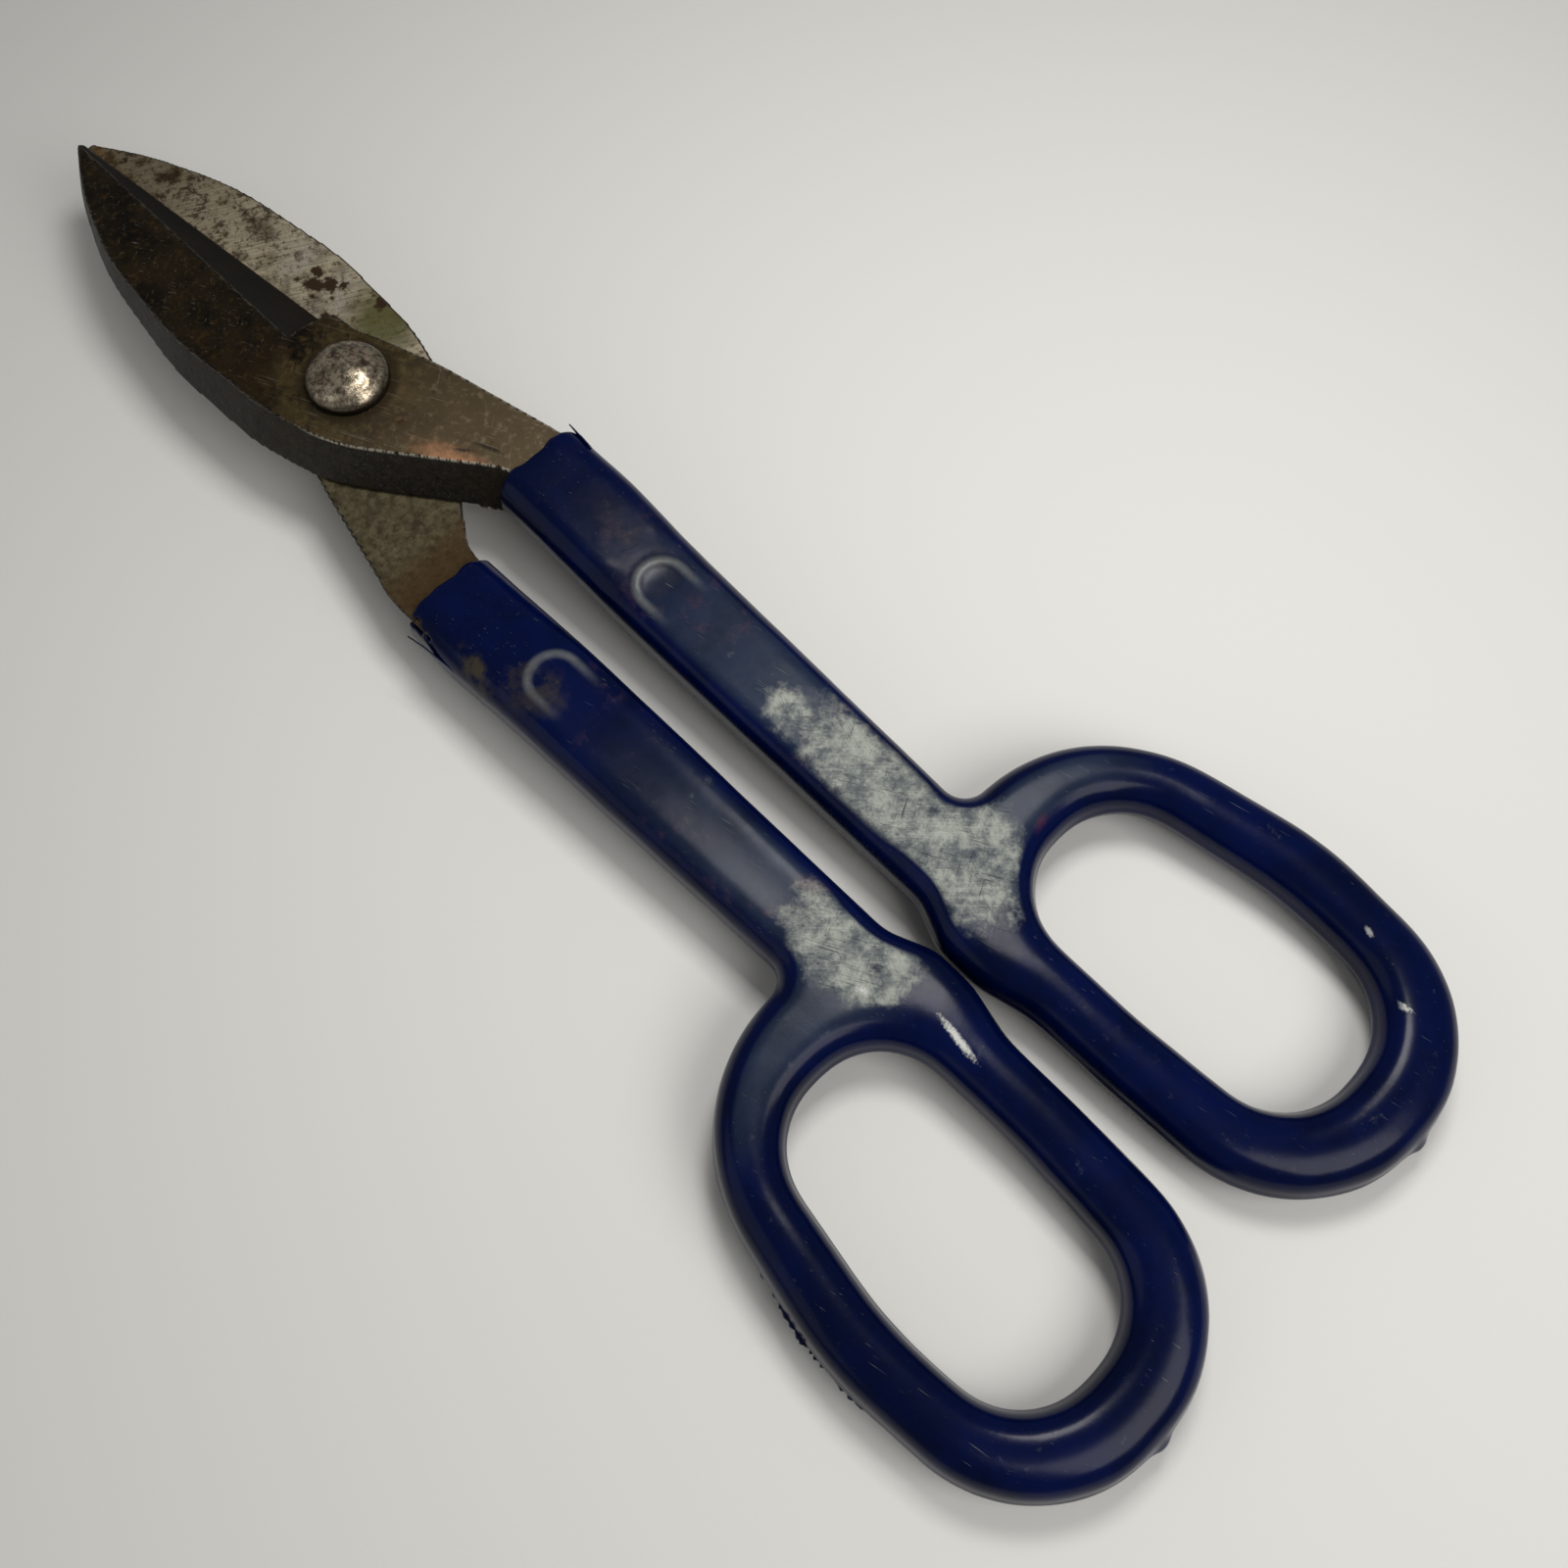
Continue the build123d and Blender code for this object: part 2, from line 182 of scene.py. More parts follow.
class HardwareSettings(bpy.types.PropertyGroup):
    """Bolt, washer, nut and lock ring."""
    thread_pitch: length("Thread pitch", "Pitch of the bolt's thread", 1.588)
    thread_depth: length("Thread depth", "Depth of the thread", 0.8)
    head: colour("Bolt head", "Mottled steel", 196, 182, 158)
    rust: colour("Rust", "Rust spots on the head", 84, 50, 36)
    zinc: colour("Zinc", "Dulled zinc of washer and nut", 150, 150, 146)
    nylon: colour("Nylon", "Lock ring", 214, 210, 192)


class StageSettings(bpy.types.PropertyGroup):
    """Camera, floor and lights."""
    paper: colour("Paper", "Pale floor", 232, 231, 227)
    lens: bpy.props.FloatProperty(
        name="Lens", description="Focal length", unit="CAMERA", default=36.09, min=1)
    key_power: amount("Key light", "Watts of the soft light overhead", 0.55)
    fill_power: amount("Tail light", "Watts of the wide light behind the loops", 1.2)
    sky: amount("Room light", "Strength of the light from all round", 0.17)


# ---- noise and mesh helpers

def noise(points, size, seed):
    """Smooth value noise from -1 to 1 at points, all in millimetres."""
    table = np.random.default_rng(seed).random(4096) * 2 - 1
    places = points / size + 1000.0
    cell = np.floor(places).astype(np.int64)
    part = places - cell
    part = part * part * (3 - 2 * part)
    total = np.zeros(len(points))
    for corner in range(8):
        offset = np.array([corner & 1, corner >> 1 & 1, corner >> 2 & 1])
        x, y, z = (cell + offset).T
        pick = (x * 73856093 ^ y * 19349663 ^ z * 83492791) & 4095
        weight = np.where(offset, part, 1 - part).prod(axis=1)
        total += table[pick] * weight
    return total


def fractal(points, size, seed, octaves=3):
    """Sum of noise at halving sizes."""
    total = np.zeros(len(points))
    for octave in range(octaves):
        total += noise(points, size / 2**octave, seed + octave) / 2**octave
    return total


def smoothstep(value, low, high):
    """Smooth rise from 0 at low to 1 at high."""
    part = np.clip((value - low) / (high - low), 0, 1)
    return part * part * (3 - 2 * part)


def vertex_values(mesh, name):
    """Three numbers for each vertex, such as its place or its normal."""
    flat = np.empty(len(mesh.vertices) * 3)
    mesh.vertices.foreach_get(name, flat)
    return flat.reshape(-1, 3)


def vertex_places(mesh):
    """Vertex places in millimetres."""
    return vertex_values(mesh, "co") / MM


def vertex_normals(mesh):
    """Vertex normals."""
    return vertex_values(mesh, "normal")


def place_vertices(mesh, places):
    """Moves the vertices to places in millimetres."""
    mesh.vertices.foreach_set("co", (places * MM).ravel())
    mesh.update()


def neighbour_mean(mesh, values):
    """Each vertex's mean of the values at the vertices joined to it."""
    ends = np.empty(len(mesh.edges) * 2, dtype=np.int64)
    mesh.edges.foreach_get("vertices", ends)
    one, other = ends.reshape(-1, 2).T
    count = np.bincount(ends, minlength=len(mesh.vertices))
    columns = []
    for column in np.atleast_2d(values.T):
        total = np.bincount(one, column[other], len(column))
        total += np.bincount(other, column[one], len(column))
        columns.append(total / count)
    return np.array(columns).T.reshape(values.shape)


def relax(mesh, passes, keep=None):
    """Laplacian smoothing; keep is a weight from 0 to 1 that holds vertices where they are."""
    places = vertex_places(mesh)
    free = 1.0 if keep is None else (1 - keep)[:, None]
    for step in range(2 * passes):
        share = 0.5 if step % 2 == 0 else -0.48
        places += (neighbour_mean(mesh, places) - places) * share * free
    place_vertices(mesh, places)


def edge_sharpness(mesh, spread):
    """How far each vertex stands out from its neighbours, positive on outer edges."""
    places = vertex_places(mesh)
    normals = vertex_normals(mesh)
    bulge = ((places - neighbour_mean(mesh, places)) * normals).sum(axis=1)
    for _ in range(spread):
        bulge = (bulge + neighbour_mean(mesh, bulge)) / 2
    return bulge


def store(mesh, name, values):
    """Keeps one number for each vertex, for a shader to read."""
    layer = mesh.attributes.new(name, "FLOAT", "POINT")
    layer.data.foreach_set("value", values.astype(np.float32))


def shade_smooth(mesh):
    """Smooth shading on every face."""
    mesh.polygons.foreach_set("use_smooth", [True] * len(mesh.polygons))
    mesh.update()


def welded(*nodes):
    """Welded solid of some CAD nodes, with its faces turned outwards."""
    solid = bmesh.new()
    for node in nodes:
        solid.from_mesh(frame["nodes"][node].data)
    bmesh.ops.remove_doubles(solid, verts=solid.verts, dist=1e-6)
    bmesh.ops.recalc_face_normals(solid, faces=solid.faces)
    return solid


def add_piece(name, solid):
    """New object whose mesh is the solid."""
    mesh = bpy.data.meshes.new(name)
    solid.to_mesh(mesh)
    solid.free()
    piece = bpy.data.objects.new(name, mesh)
    bpy.context.scene.collection.objects.link(piece)
    return piece


def apply_modifiers(piece):
    """Replaces the piece's mesh by what its modifiers give."""
    graph = bpy.context.evaluated_depsgraph_get()
    mesh = bpy.data.meshes.new_from_object(piece.evaluated_get(graph))
    old = piece.data
    piece.modifiers.clear()
    piece.data = mesh
    mesh.name = piece.name
    bpy.data.meshes.remove(old)
    return mesh


def remesh(piece, cell):
    """Even mesh of cells over the piece's closed shape."""
    modifier = piece.modifiers.new("even", "REMESH")
    modifier.mode = "VOXEL"
    modifier.voxel_size = cell
    modifier.use_smooth_shade = True
    return apply_modifiers(piece)


def crease_distance(node, places):
    """Each place's distance to the nearest sharp CAD edge, and the nearest point on one."""
    solid = welded(node)
    points = []
    for edge in solid.edges:
        if edge.calc_face_angle(0) > CREASE:
            start, end = (np.array(vertex.co) / MM for vertex in edge.verts)
            count = max(1, int(np.linalg.norm(end - start) / CREASE_STEP))
            points += [start + (end - start) * i / count for i in range(count + 1)]
    solid.free()
    tree = KDTree(len(points))
    for index, point in enumerate(points):
        tree.insert(point, index)
    tree.balance()
    found = [tree.find(place) for place in places]
    return np.array([hit[2] for hit in found]), np.array([hit[0] for hit in found])


def thin_out(piece, weights, ratio):
    """Removes vertices where the weight is 1, down to a share of the faces."""
    group = piece.vertex_groups.new(name="hidden")
    picked = np.nonzero(weights > 0.5)[0].tolist()
    group.add(picked, 1.0, "REPLACE")
    modifier = piece.modifiers.new("thin", "DECIMATE")
    modifier.ratio = ratio
    modifier.vertex_group = "hidden"
    apply_modifiers(piece)
    piece.vertex_groups.clear()


# ---- shader helpers

def maths(operation, reflected=False):
    """Method of a shader number that adds a Math node; reflected puts the other number first."""
    def method(self, other=0.0):
        first, second = (other, self) if reflected else (self, other)
        return self.finish.add(
            "ShaderNodeMath", {"operation": operation}, {0: first, 1: second})
    return method


class Value:
    """A shader number; an expression on it adds the Math nodes that it needs."""

    def __init__(self, finish, socket):
        self.finish = finish
        self.socket = socket

    __add__ = __radd__ = maths("ADD")
    __sub__ = maths("SUBTRACT")
    __rsub__ = maths("SUBTRACT", reflected=True)
    __mul__ = __rmul__ = maths("MULTIPLY")
    __truediv__ = maths("DIVIDE")
    __pow__ = maths("POWER")
    __abs__ = maths("ABSOLUTE")
    most = maths("MAXIMUM")
    least = maths("MINIMUM")

    def rise(self, low, high):
        """Smooth rise from 0 at low to 1 at high, or a fall where low is the larger."""
        sockets = {"Value": self, "From Min": min(low, high), "From Max": max(low, high)}
        if low > high:
            sockets |= {"To Min": 1.0, "To Max": 0.0}
        settings = {"interpolation_type": "SMOOTHSTEP"}
        return self.finish.add("ShaderNodeMapRange", settings, sockets)


class Finish:
    """A material being made: places in millimetres, masks, and mixes of colour."""

    def __init__(self, name, side=1):
        self.material = bpy.data.materials.new(name)
        self.material.use_nodes = True
        self.tree = self.material.node_tree
        self.shader = self.tree.nodes["Principled BSDF"]
        coordinates = self.tree.nodes.new("ShaderNodeTexCoord")
        scaled = self.add(
            "ShaderNodeVectorMath", {"operation": "SCALE"},
            {0: coordinates.outputs["Object"], "Scale": 1 / MM})
        self.place = scaled.socket
        parts = self.add("ShaderNodeSeparateXYZ", {}, {0: self.place}).socket.node
        self.x = Value(self, parts.outputs["X"])
        self.y = Value(self, parts.outputs["Y"]) * side
        self.z = Value(self, parts.outputs["Z"])
        facing = self.add(
            "ShaderNodeSeparateXYZ", {}, {0: coordinates.outputs["Normal"]}).socket.node
        self.facing = Value(self, facing.outputs["Z"])

    def add(self, kind, settings, sockets, output=0):
        """Node of a kind with its settings, then its sockets' values or links."""
        node = self.tree.nodes.new(kind)
        for name, value in settings.items():
            setattr(node, name, value)
        for name, value in sockets.items():
            self.feed(node.inputs[name], value)
        return Value(self, node.outputs[output])

    def feed(self, socket, value):
        """Links or sets one socket."""
        if isinstance(value, Value):
            self.tree.links.new(value.socket, socket)
        elif isinstance(value, bpy.types.NodeSocket):
            self.tree.links.new(value, socket)
        else:
            socket.default_value = value

    def noise(self, size, detail, rough, seed, place=None):
        """Noise from 0 to 1 with features of a size."""
        settings = {"noise_dimensions": "4D"}
        sockets = {
            "Vector": self.place if place is None else place, "W": seed,
            "Scale": 1 / size, "Detail": detail, "Roughness": rough}
        return self.add("ShaderNodeTexNoise", settings, sockets)

    def strokes(self, angle, long, thin, seed):
        """Noise drawn out along a direction in the XY plane."""
        turned = self.add(
            "ShaderNodeMapping", {"vector_type": "TEXTURE"},
            {"Vector": self.place, "Rotation": (0, 0, math.radians(angle)),
             "Scale": (long, thin, thin)})
        return self.noise(1.0, 2.0, 0.5, seed, turned.socket)

    def cells(self, size, seed):
        """Distance from scattered points, in units of their spacing."""
        settings = {"voronoi_dimensions": "4D"}
        sockets = {"Vector": self.place, "W": seed, "Scale": 1 / size}
        return self.add("ShaderNodeTexVoronoi", settings, sockets)

    def sharpness(self):
        """Number kept at each vertex, large along worn edges."""
        return self.add("ShaderNodeAttribute", {"attribute_name": "sharpness"}, {}, 2)

    def spot(self, x, y, radius, soft, stretch, angle, ragged, seed):
        """Oval patch with a soft, ragged rim."""
        cosine, sine = math.cos(math.radians(angle)), math.sin(math.radians(angle))
        across = self.x - x
        along = self.y - y
        one = (across * cosine + along * sine) / stretch
        two = along * cosine - across * sine
        reach = (one * one + two * two) ** 0.5
        reach = reach + (self.noise(radius * 0.6, 4.0, 0.6, seed) - 0.5) * ragged
        return reach.rise(radius + soft, radius - soft)

    def spots(self, *rows):
        """Strongest of several spots; each row is a strength, then the spot's own values."""
        return reduce(Value.most, [self.spot(*row) * strength for strength, *row in rows])

    def tint(self, mask, below, above):
        """Colour that goes from below to above with the mask."""
        settings = {"data_type": "RGBA"}
        sockets = {0: mask, 6: self.solid(below), 7: self.solid(above)}
        return self.add("ShaderNodeMix", settings, sockets, 2)

    def layers(self, base, *coats):
        """Colour with coats over it, each of them a mask and a colour."""
        for mask, above in coats:
            base = self.tint(mask, base, above)
        return base

    @staticmethod
    def solid(value):
        """Colour with alpha, or a link as it is."""
        return value if isinstance(value, Value) else (*value[:3], 1.0)

    def bump(self, height, depth, strength=1.0):
        """Sets the relief: a height of 1 stands depth millimetres high."""
        relief = self.add(
            "ShaderNodeBump", {}, {"Height": height, "Distance": depth * MM, "Strength": strength})
        self.feed(self.shader.inputs["Normal"], relief)

    def surface(self, base, rough, metal, gloss=None):
        """Feeds the shader's colour, roughness and metallic; gloss is its specular level."""
        self.feed(self.shader.inputs["Base Color"], self.solid(base))
        self.feed(self.shader.inputs["Roughness"], rough)
        self.feed(self.shader.inputs["Metallic"], metal)
        if gloss is not None:
            self.shader.inputs["Specular IOR Level"].default_value = gloss


# ---- finishes

def forged_finish(name, steel, side):
    """Finish of a forged half; side is 1 where the outer face is up, and -1 where it is down."""
    made = Finish(name, side)
    x, y = made.x, made.y
    outward = made.facing * side
    outer = outward.rise(0.90, 0.97)
    inner = outward.rise(-0.90, -0.97)
    strip = outward.rise(0.68, 0.74) * outward.rise(0.90, 0.84) * x.rise(12, 15)
    seed = 3.0 if side > 0 else 11.0

    cloud = made.noise(9.0, 5.0, 0.62, seed)
    fine = made.noise(1.6, 5.0, 0.68, seed)
    grain = made.noise(0.45, 3.0, 0.7, seed)

    # sides and rough forged faces
    flank = made.layers(
        shade(20, 18, 14),
        (grain.rise(0.34, 0.66) * 0.5 + fine.rise(0.3, 0.7) * 0.5, steel.grey),
        (cloud.rise(0.52, 0.70) * 0.6, steel.brown),
        (grain.rise(0.62, 0.74) * 0.55, shade(128, 122, 110)))

    # outer face: brown patina that darkens towards the tip, rubbed on the shank
    rubbed = (x.rise(6, -26) * (0.45 + cloud * 0.8)).least(1.0)
    hub = (x * x + y * y) ** 0.5
    halo = hub.rise(17.5, 10.0) * (fine * 0.5 + cloud * 0.5).rise(0.36, 0.62)
    ring = (hub.rise(10.4, 8.6) * (0.5 + fine)).least(1.0)
    flecked = made.noise(1.2, 3.0, 0.6, seed + 12).rise(0.60, 0.68) * hub.rise(22.0, 12.0)
    soot = cloud.rise(0.50, 0.36) * fine.rise(0.52, 0.38) * x.rise(-4, 14)
    patina = made.layers(
        steel.dark,
        (cloud.rise(0.36, 0.62), steel.brown),
        (fine.rise(0.52, 0.70) * 0.5, steel.ochre),
        (grain.rise(0.60, 0.72) * 0.3, shade(110, 96, 72)),
        (rubbed, shade(98, 84, 62)),
        (rubbed * fine.rise(0.50, 0.68) * 0.6, shade(140, 126, 104)),
        (halo * 0.75, shade(96, 82, 50)),
        (ring * 0.8, shade(46, 38, 24)),
        (flecked * 0.8, shade(70, 40, 16)),
        (soot * 0.7, shade(14, 10, 6)))

    # rough face behind the pivot, which the grinding leaves as forged
    heel = x.rise(1, -8)
    stain = (x.rise(-29, -38) * (0.35 + cloud)).least(1.0) * (0.5 + fine * 0.8)
    rough_face = made.layers(
        shade(60, 53, 37),
        (fine.rise(0.30, 0.72), shade(108, 99, 76)),
        (grain.rise(0.60, 0.72) * 0.5, shade(150, 144, 124)),
        (stain.least(1.0) * 0.85, shade(72, 48, 20)),
        (made.spot(-19.0, 16.5, 4.2, 2.4, 1.2, 20, 4.0, seed) * 0.7, shade(84, 56, 36)))

    # ground shear face: bright, cross-scratched, stained towards the tip and the edge
    scratch = made.strokes(62, 9.0, 0.22, seed).rise(0.40, 0.66)
    counter = made.strokes(-28, 7.0, 0.18, seed + 1).rise(0.52, 0.74)
    speckle = made.noise(1.3, 5.0, 0.7, seed + 2).rise(0.51, 0.62)
    clouded = made.noise(6.0, 4.0, 0.6, seed + 3).rise(0.48, 0.66)
    tipward = (x.rise(40, 84) * 0.75 + clouded * 0.6).least(1.0)
    mottle = made.noise(3.0, 5.0, 0.72, seed + 4).rise(0.51, 0.60) * x.rise(14, 58)
    from_edge = y + (BLADE_TIP - x) * EDGE_SLANT
    creep = from_edge.rise(5.2, 0.6) * made.noise(2.6, 4.0, 0.6, seed + 6).rise(0.36, 0.6)
    ground = made.layers(
        steel.bright,
        (cloud.rise(0.46, 0.60) * x.rise(52, 34), shade(196, 188, 170)),
        (scratch * 0.6, shade(112, 102, 84)),
        (counter * 0.45, shade(206, 200, 188)),
        (speckle * 0.75, shade(84, 66, 42)),
        (tipward * 0.85, shade(76, 60, 34)),
        (mottle * 0.85, shade(56, 42, 26)),
        (creep * x.rise(34, 46) * 0.85, shade(122, 84, 34)),
        (made.spot(13.0, 16.5, 6.5, 3.5, 1.3, 40, 5.0, seed) * 0.85, steel.olive),
        (heel, rough_face))

    # rust in the pits, and in blotches on the lower half's shear face; a pinkish copper patch and
    # scratches on the upper half's shank
    rusty = made.cells(2.3, seed).rise(0.30, 0.12)
    rusty = rusty * made.noise(7.0, 2.0, 0.55, seed + 5).rise(0.50, 0.66)
    tinted = scored = 0.0
    if side < 0:
        blotches = [(1, 29.5, 12.0, 1.7, 0.5, 1.3, -30, 3.2, seed)]
        for i, (along, across, radius) in enumerate((
                (31.6, 14.4, 1.2), (27.2, 14.2, 1.5), (25.2, 16.0, 0.9), (33.0, 10.4, 0.6),
                (27.6, 9.8, 0.6), (24.4, 12.4, 0.5), (16.5, 19.0, 1.6), (22.0, 8.6, 0.9))):
            blotches.append(
                (1, along, across, radius, 0.4, 1.3, 40 * i, radius * 2.2, seed + i))
        rusty = rusty.most(made.spots(*blotches) * inner)
    else:
        tinted = made.spot(-27.6, -2.5, 1.9, 2.2, 2.8, 20, 4.0, seed) * outer
        tinted = tinted * (0.35 + fine * 0.9)
        scored = outer * made.spots(
            (1, -30.0, -9.0, 0.35, 0.25, 8.0, 22, 0.7, seed + 7),
            (1, -27.0, -5.4, 0.35, 0.3, 5.0, 38, 0.8, seed + 8))
    hairs = made.strokes(25, 12.0, 0.16, seed + 9).rise(0.66, 0.72)
    hairs = hairs.most(made.strokes(-50, 10.0, 0.14, seed + 10).rise(0.68, 0.74)) * outer

    # worn edges
    worn = made.sharpness().rise(0.45, 1.0) * (fine * 0.6 + grain * 0.4).rise(0.34, 0.54)
    shank_edge = x.rise(2, -10) * x.rise(-44, -36)
    worn = (worn * (0.08 + shank_edge * (0.5 if side > 0 else 0.1))).least(1.0)

    bevel = made.tint(cloud.rise(0.40, 0.70) * 0.5, steel.bevel, shade(26, 19, 10))
    base = made.layers(
        flank, (outer, patina), (inner, ground), (strip, bevel), (rusty, steel.rust),
        (tinted, steel.copper), (scored * 0.85, shade(40, 36, 34)),
        (hairs * 0.5, shade(170, 160, 146)), (worn, steel.worn))
    matt = 0.50 - (outer * 0.06 - strip * 0.10 - inner * 0.06) * (1 - heel)
    rough = matt + (grain - 0.5) * 0.22 + rusty * 0.30 - worn * 0.16 - tinted * 0.12
    metal = 0.55 - rusty * 0.5 - strip * 0.25 + inner * (1 - heel) * 0.2 + worn * 0.35
    made.surface(base, rough.most(0.2), metal.most(0.0).least(1.0), 0.25)

    relief = grain * 0.35 + fine * 0.5 - rusty * 0.9 - scored * 0.8
    relief = relief * (1.0 + (1 - outer.most(inner)) * 1.4 + heel * inner * 1.8)
    relief = relief - (scratch * 0.25 + counter * 0.2) * inner * (1 - heel)
    made.bump(relief, 0.055)
    return made.material


def vinyl_finish(name, grip, side):
    """Finish of a dipped grip; side is -1 for the one at -Y and 1 for the one at +Y."""
    made = Finish(name, side)  # y is the distance from the middle of the tool
    x, y = made.x, made.y
    upper = side < 0
    seed = 21.0 if upper else 31.0
    top = made.facing.rise(0.80, 0.985)
    flat = made.facing.rise(0.90, 0.998)
    cloud = made.noise(14.0, 4.0, 0.6, seed)
    fine = made.noise(1.3, 5.0, 0.68, seed)
    patchy = made.noise(4.0, 5.0, 0.66, seed + 1)

    # thin films that dull the flats; the grey-green film on the up-facing flats is partly a real
    # film and partly painted sheen, laid where the lamp's reflection falls
    front, back = (-44, -92) if upper else (-78, -124)
    film = flat * (cloud * 1.6 + fine * 0.3 - 0.2) * x.rise(front, back) * x.rise(-160, -148)
    film = film.least(1.0).most(0.0)
    plum = patchy.rise(0.50, 0.66) * made.noise(22.0, 2.0, 0.55, seed + 2).rise(0.50, 0.62) * top

    # rubbed grey patches where the tool lies in the hand and on the bench
    grainy = made.noise(0.5, 4.0, 0.7, seed + 15)
    if upper:
        zone = made.spots(
            (1, -131.0, 12.5, 9.0, 5.0, 2.3, 4, 6.0, seed),
            (1, -146.0, 14.0, 8.5, 5.0, 1.3, 20, 5.0, seed + 1),
            (0.7, -107.0, 12.0, 3.6, 2.5, 1.6, 0, 4.0, seed + 2))
    else:
        zone = made.spots(
            (1, -143.0, 11.0, 7.6, 2.8, 1.5, 8, 4.0, seed),
            (0.9, -133.6, 9.0, 3.2, 2.0, 1.2, 20, 3.0, seed + 1))
    worn = patchy * 0.72 + fine * 0.28
    scuffs = (zone * 1.3 + (worn - 0.5) * 1.9).rise(0.15, 1.0) * flat
    mottled = (patchy * 0.6 + fine * 0.25 + grainy * 0.15).rise(0.38, 0.60)
    film_tone = made.layers(
        shade(96, 102, 104),
        (mottled, grip.scuff),
        (made.strokes(44, 12.0, 0.24, seed + 16).rise(0.54, 0.66) * 0.28, shade(196, 199, 190)),
        (made.strokes(-20, 10.0, 0.22, seed + 17).rise(0.56, 0.66) * 0.24, shade(70, 76, 82)))
    pocks = (grainy.rise(0.36, 0.28) * 0.4).most(patchy.rise(0.38, 0.28) * 0.7) * scuffs

    # rim of the pressed panel, painted pale on its up-facing front: partly rubbed wear, partly a
    # painted highlight along the bead
    beyond = (abs(x - PANEL_CENTRE) - PANEL_REACH).most(0.0)
    across = y - PANEL_MIDDLE
    rim = (beyond * beyond + across * across) ** 0.5 - PANEL_RADIUS
    rim = abs(rim - RIM_OUT).rise(1.3, 0.1) * x.rise(*BEAD_END) * made.facing.rise(0.5, 0.8)
    rubbed = (rim * (0.2 + fine * 0.6)).least(1.0)

    # dirt, a reddish smear, flecks of pale paint, dust and scratches
    if upper:
        dirt = made.spot(-64.0, 15.0, 6.0, 3.5, 1.8, 0, 5.0, seed + 5) * 0.15
        red = made.spot(-151.0, 27.0, 0.9, 0.7, 1.8, 60, 1.4, seed + 6) * 0.35
        flecks = made.spots(
            (1, -210.6, 44.6, 0.62, 0.16, 5.2, -10, 0.8, seed + 12),
            (0.5, -201.0, 51.0, 0.4, 0.2, 2.0, 20, 0.8, seed + 13))
    else:
        dirt = made.spots(
            (0.9, -60.5, 21.5, 1.8, 0.9, 2.6, -12, 2.6, seed + 5),
            (0.45, -71.5, 17.0, 4.4, 1.6, 1.3, 20, 5.0, seed + 7))
        red = made.spot(-131.0, 8.0, 1.2, 1.2, 2.0, 30, 1.6, seed + 6) * 0.18
        flecks = made.spots(
            (1, -165.6, 9.6, 0.55, 0.3, 6.5, -8, 1.3, seed + 12),
            (0.9, -149.5, 14.8, 0.45, 0.4, 1.9, 20, 2.4, seed + 13))
    dirt = dirt * patchy.rise(0.36, 0.58)
    flecks = flecks * top
    dust = made.cells(5.5, seed + 14).rise(0.050, 0.028) * top
    scored = made.strokes(28, 9.0, 0.22, seed + 8).rise(0.63, 0.69)
    scored = scored.most(made.strokes(-62, 7.0, 0.2, seed + 9).rise(0.64, 0.70)) * zone
    pale = made.strokes(12, 8.0, 0.16, seed + 11).rise(0.69, 0.75)

    base = made.layers(
        grip.deep,
        (cloud.rise(0.35, 0.7), grip.vinyl),
        # painted sheen: partly a real film, partly the lamp's reflection painted onto the flats
        (film * 0.55, grip.haze),
        (plum * x.rise(-140, -128) * 0.45, grip.plum),
        (scuffs * (0.64 + mottled * 0.36), film_tone),
        (pocks, shade(30, 34, 46)),
        # painted highlight on the panel's bead, partly rubbed wear
        (rubbed * 0.5, grip.scuff),
        (dirt, grip.grime),
        (red * top, shade(112, 52, 56)),
        (scored * 0.7, shade(24, 28, 40)),
        (pale * top * 0.30, grip.scuff),
        (flecks.most(dust * 0.45), grip.chip))
    rough = 0.20 + scuffs * 0.30 + film * 0.06 + (fine - 0.5) * 0.08 + dirt * 0.25 + flecks * 0.3
    made.surface(base, rough.most(0.15), 0.0, 0.15)
    relief = fine * 0.22 + patchy * 0.35 - scored * 0.6 + flecks * 0.8 + scuffs * fine * 0.3
    made.bump(relief, 0.05)
    return made.material


def head_finish(hardware):
    """Mottled, rust-spotted steel of the bolt, with painted shade on the head's side wall."""
    made = Finish("bolt_steel")
    cloud = made.noise(2.0, 5.0, 0.7, 41.0)
    fine = made.noise(0.7, 4.0, 0.66, 42.0)
    hub = (made.x * made.x + made.y * made.y) ** 0.5
    spots = made.noise(2.1, 4.0, 0.6, 44.0).rise(0.56, 0.66)
    rusty = spots * (made.x * 0.10 - made.y * 0.03 + 0.62).rise(0.2, 1.1)
    base = made.layers(
        shade(92, 82, 68),
        (cloud.rise(0.36, 0.60), hardware.head),
        (fine.rise(0.50, 0.62) * 0.75, shade(66, 58, 50)),
        (rusty, hardware.rust),
        (hub.rise(6.6, 7.8) * 0.8 * cloud.rise(0.3, 0.6), shade(44, 40, 38)),
        # painted shade: the head's side wall and what lies below it are darkened
        (made.z.rise(OUTER_TOP + 2.0, OUTER_TOP + 0.6), shade(52, 47, 42)))
    rough = 0.27 + (cloud - 0.5) * 0.3 + rusty * 0.35 + (fine - 0.5) * 0.3
    made.surface(base, rough.most(0.16), (0.92 - rusty * 0.7).most(0.0))
    made.bump(cloud * 0.5 + fine * 0.5 - rusty * 0.6, 0.10)
    return made.material


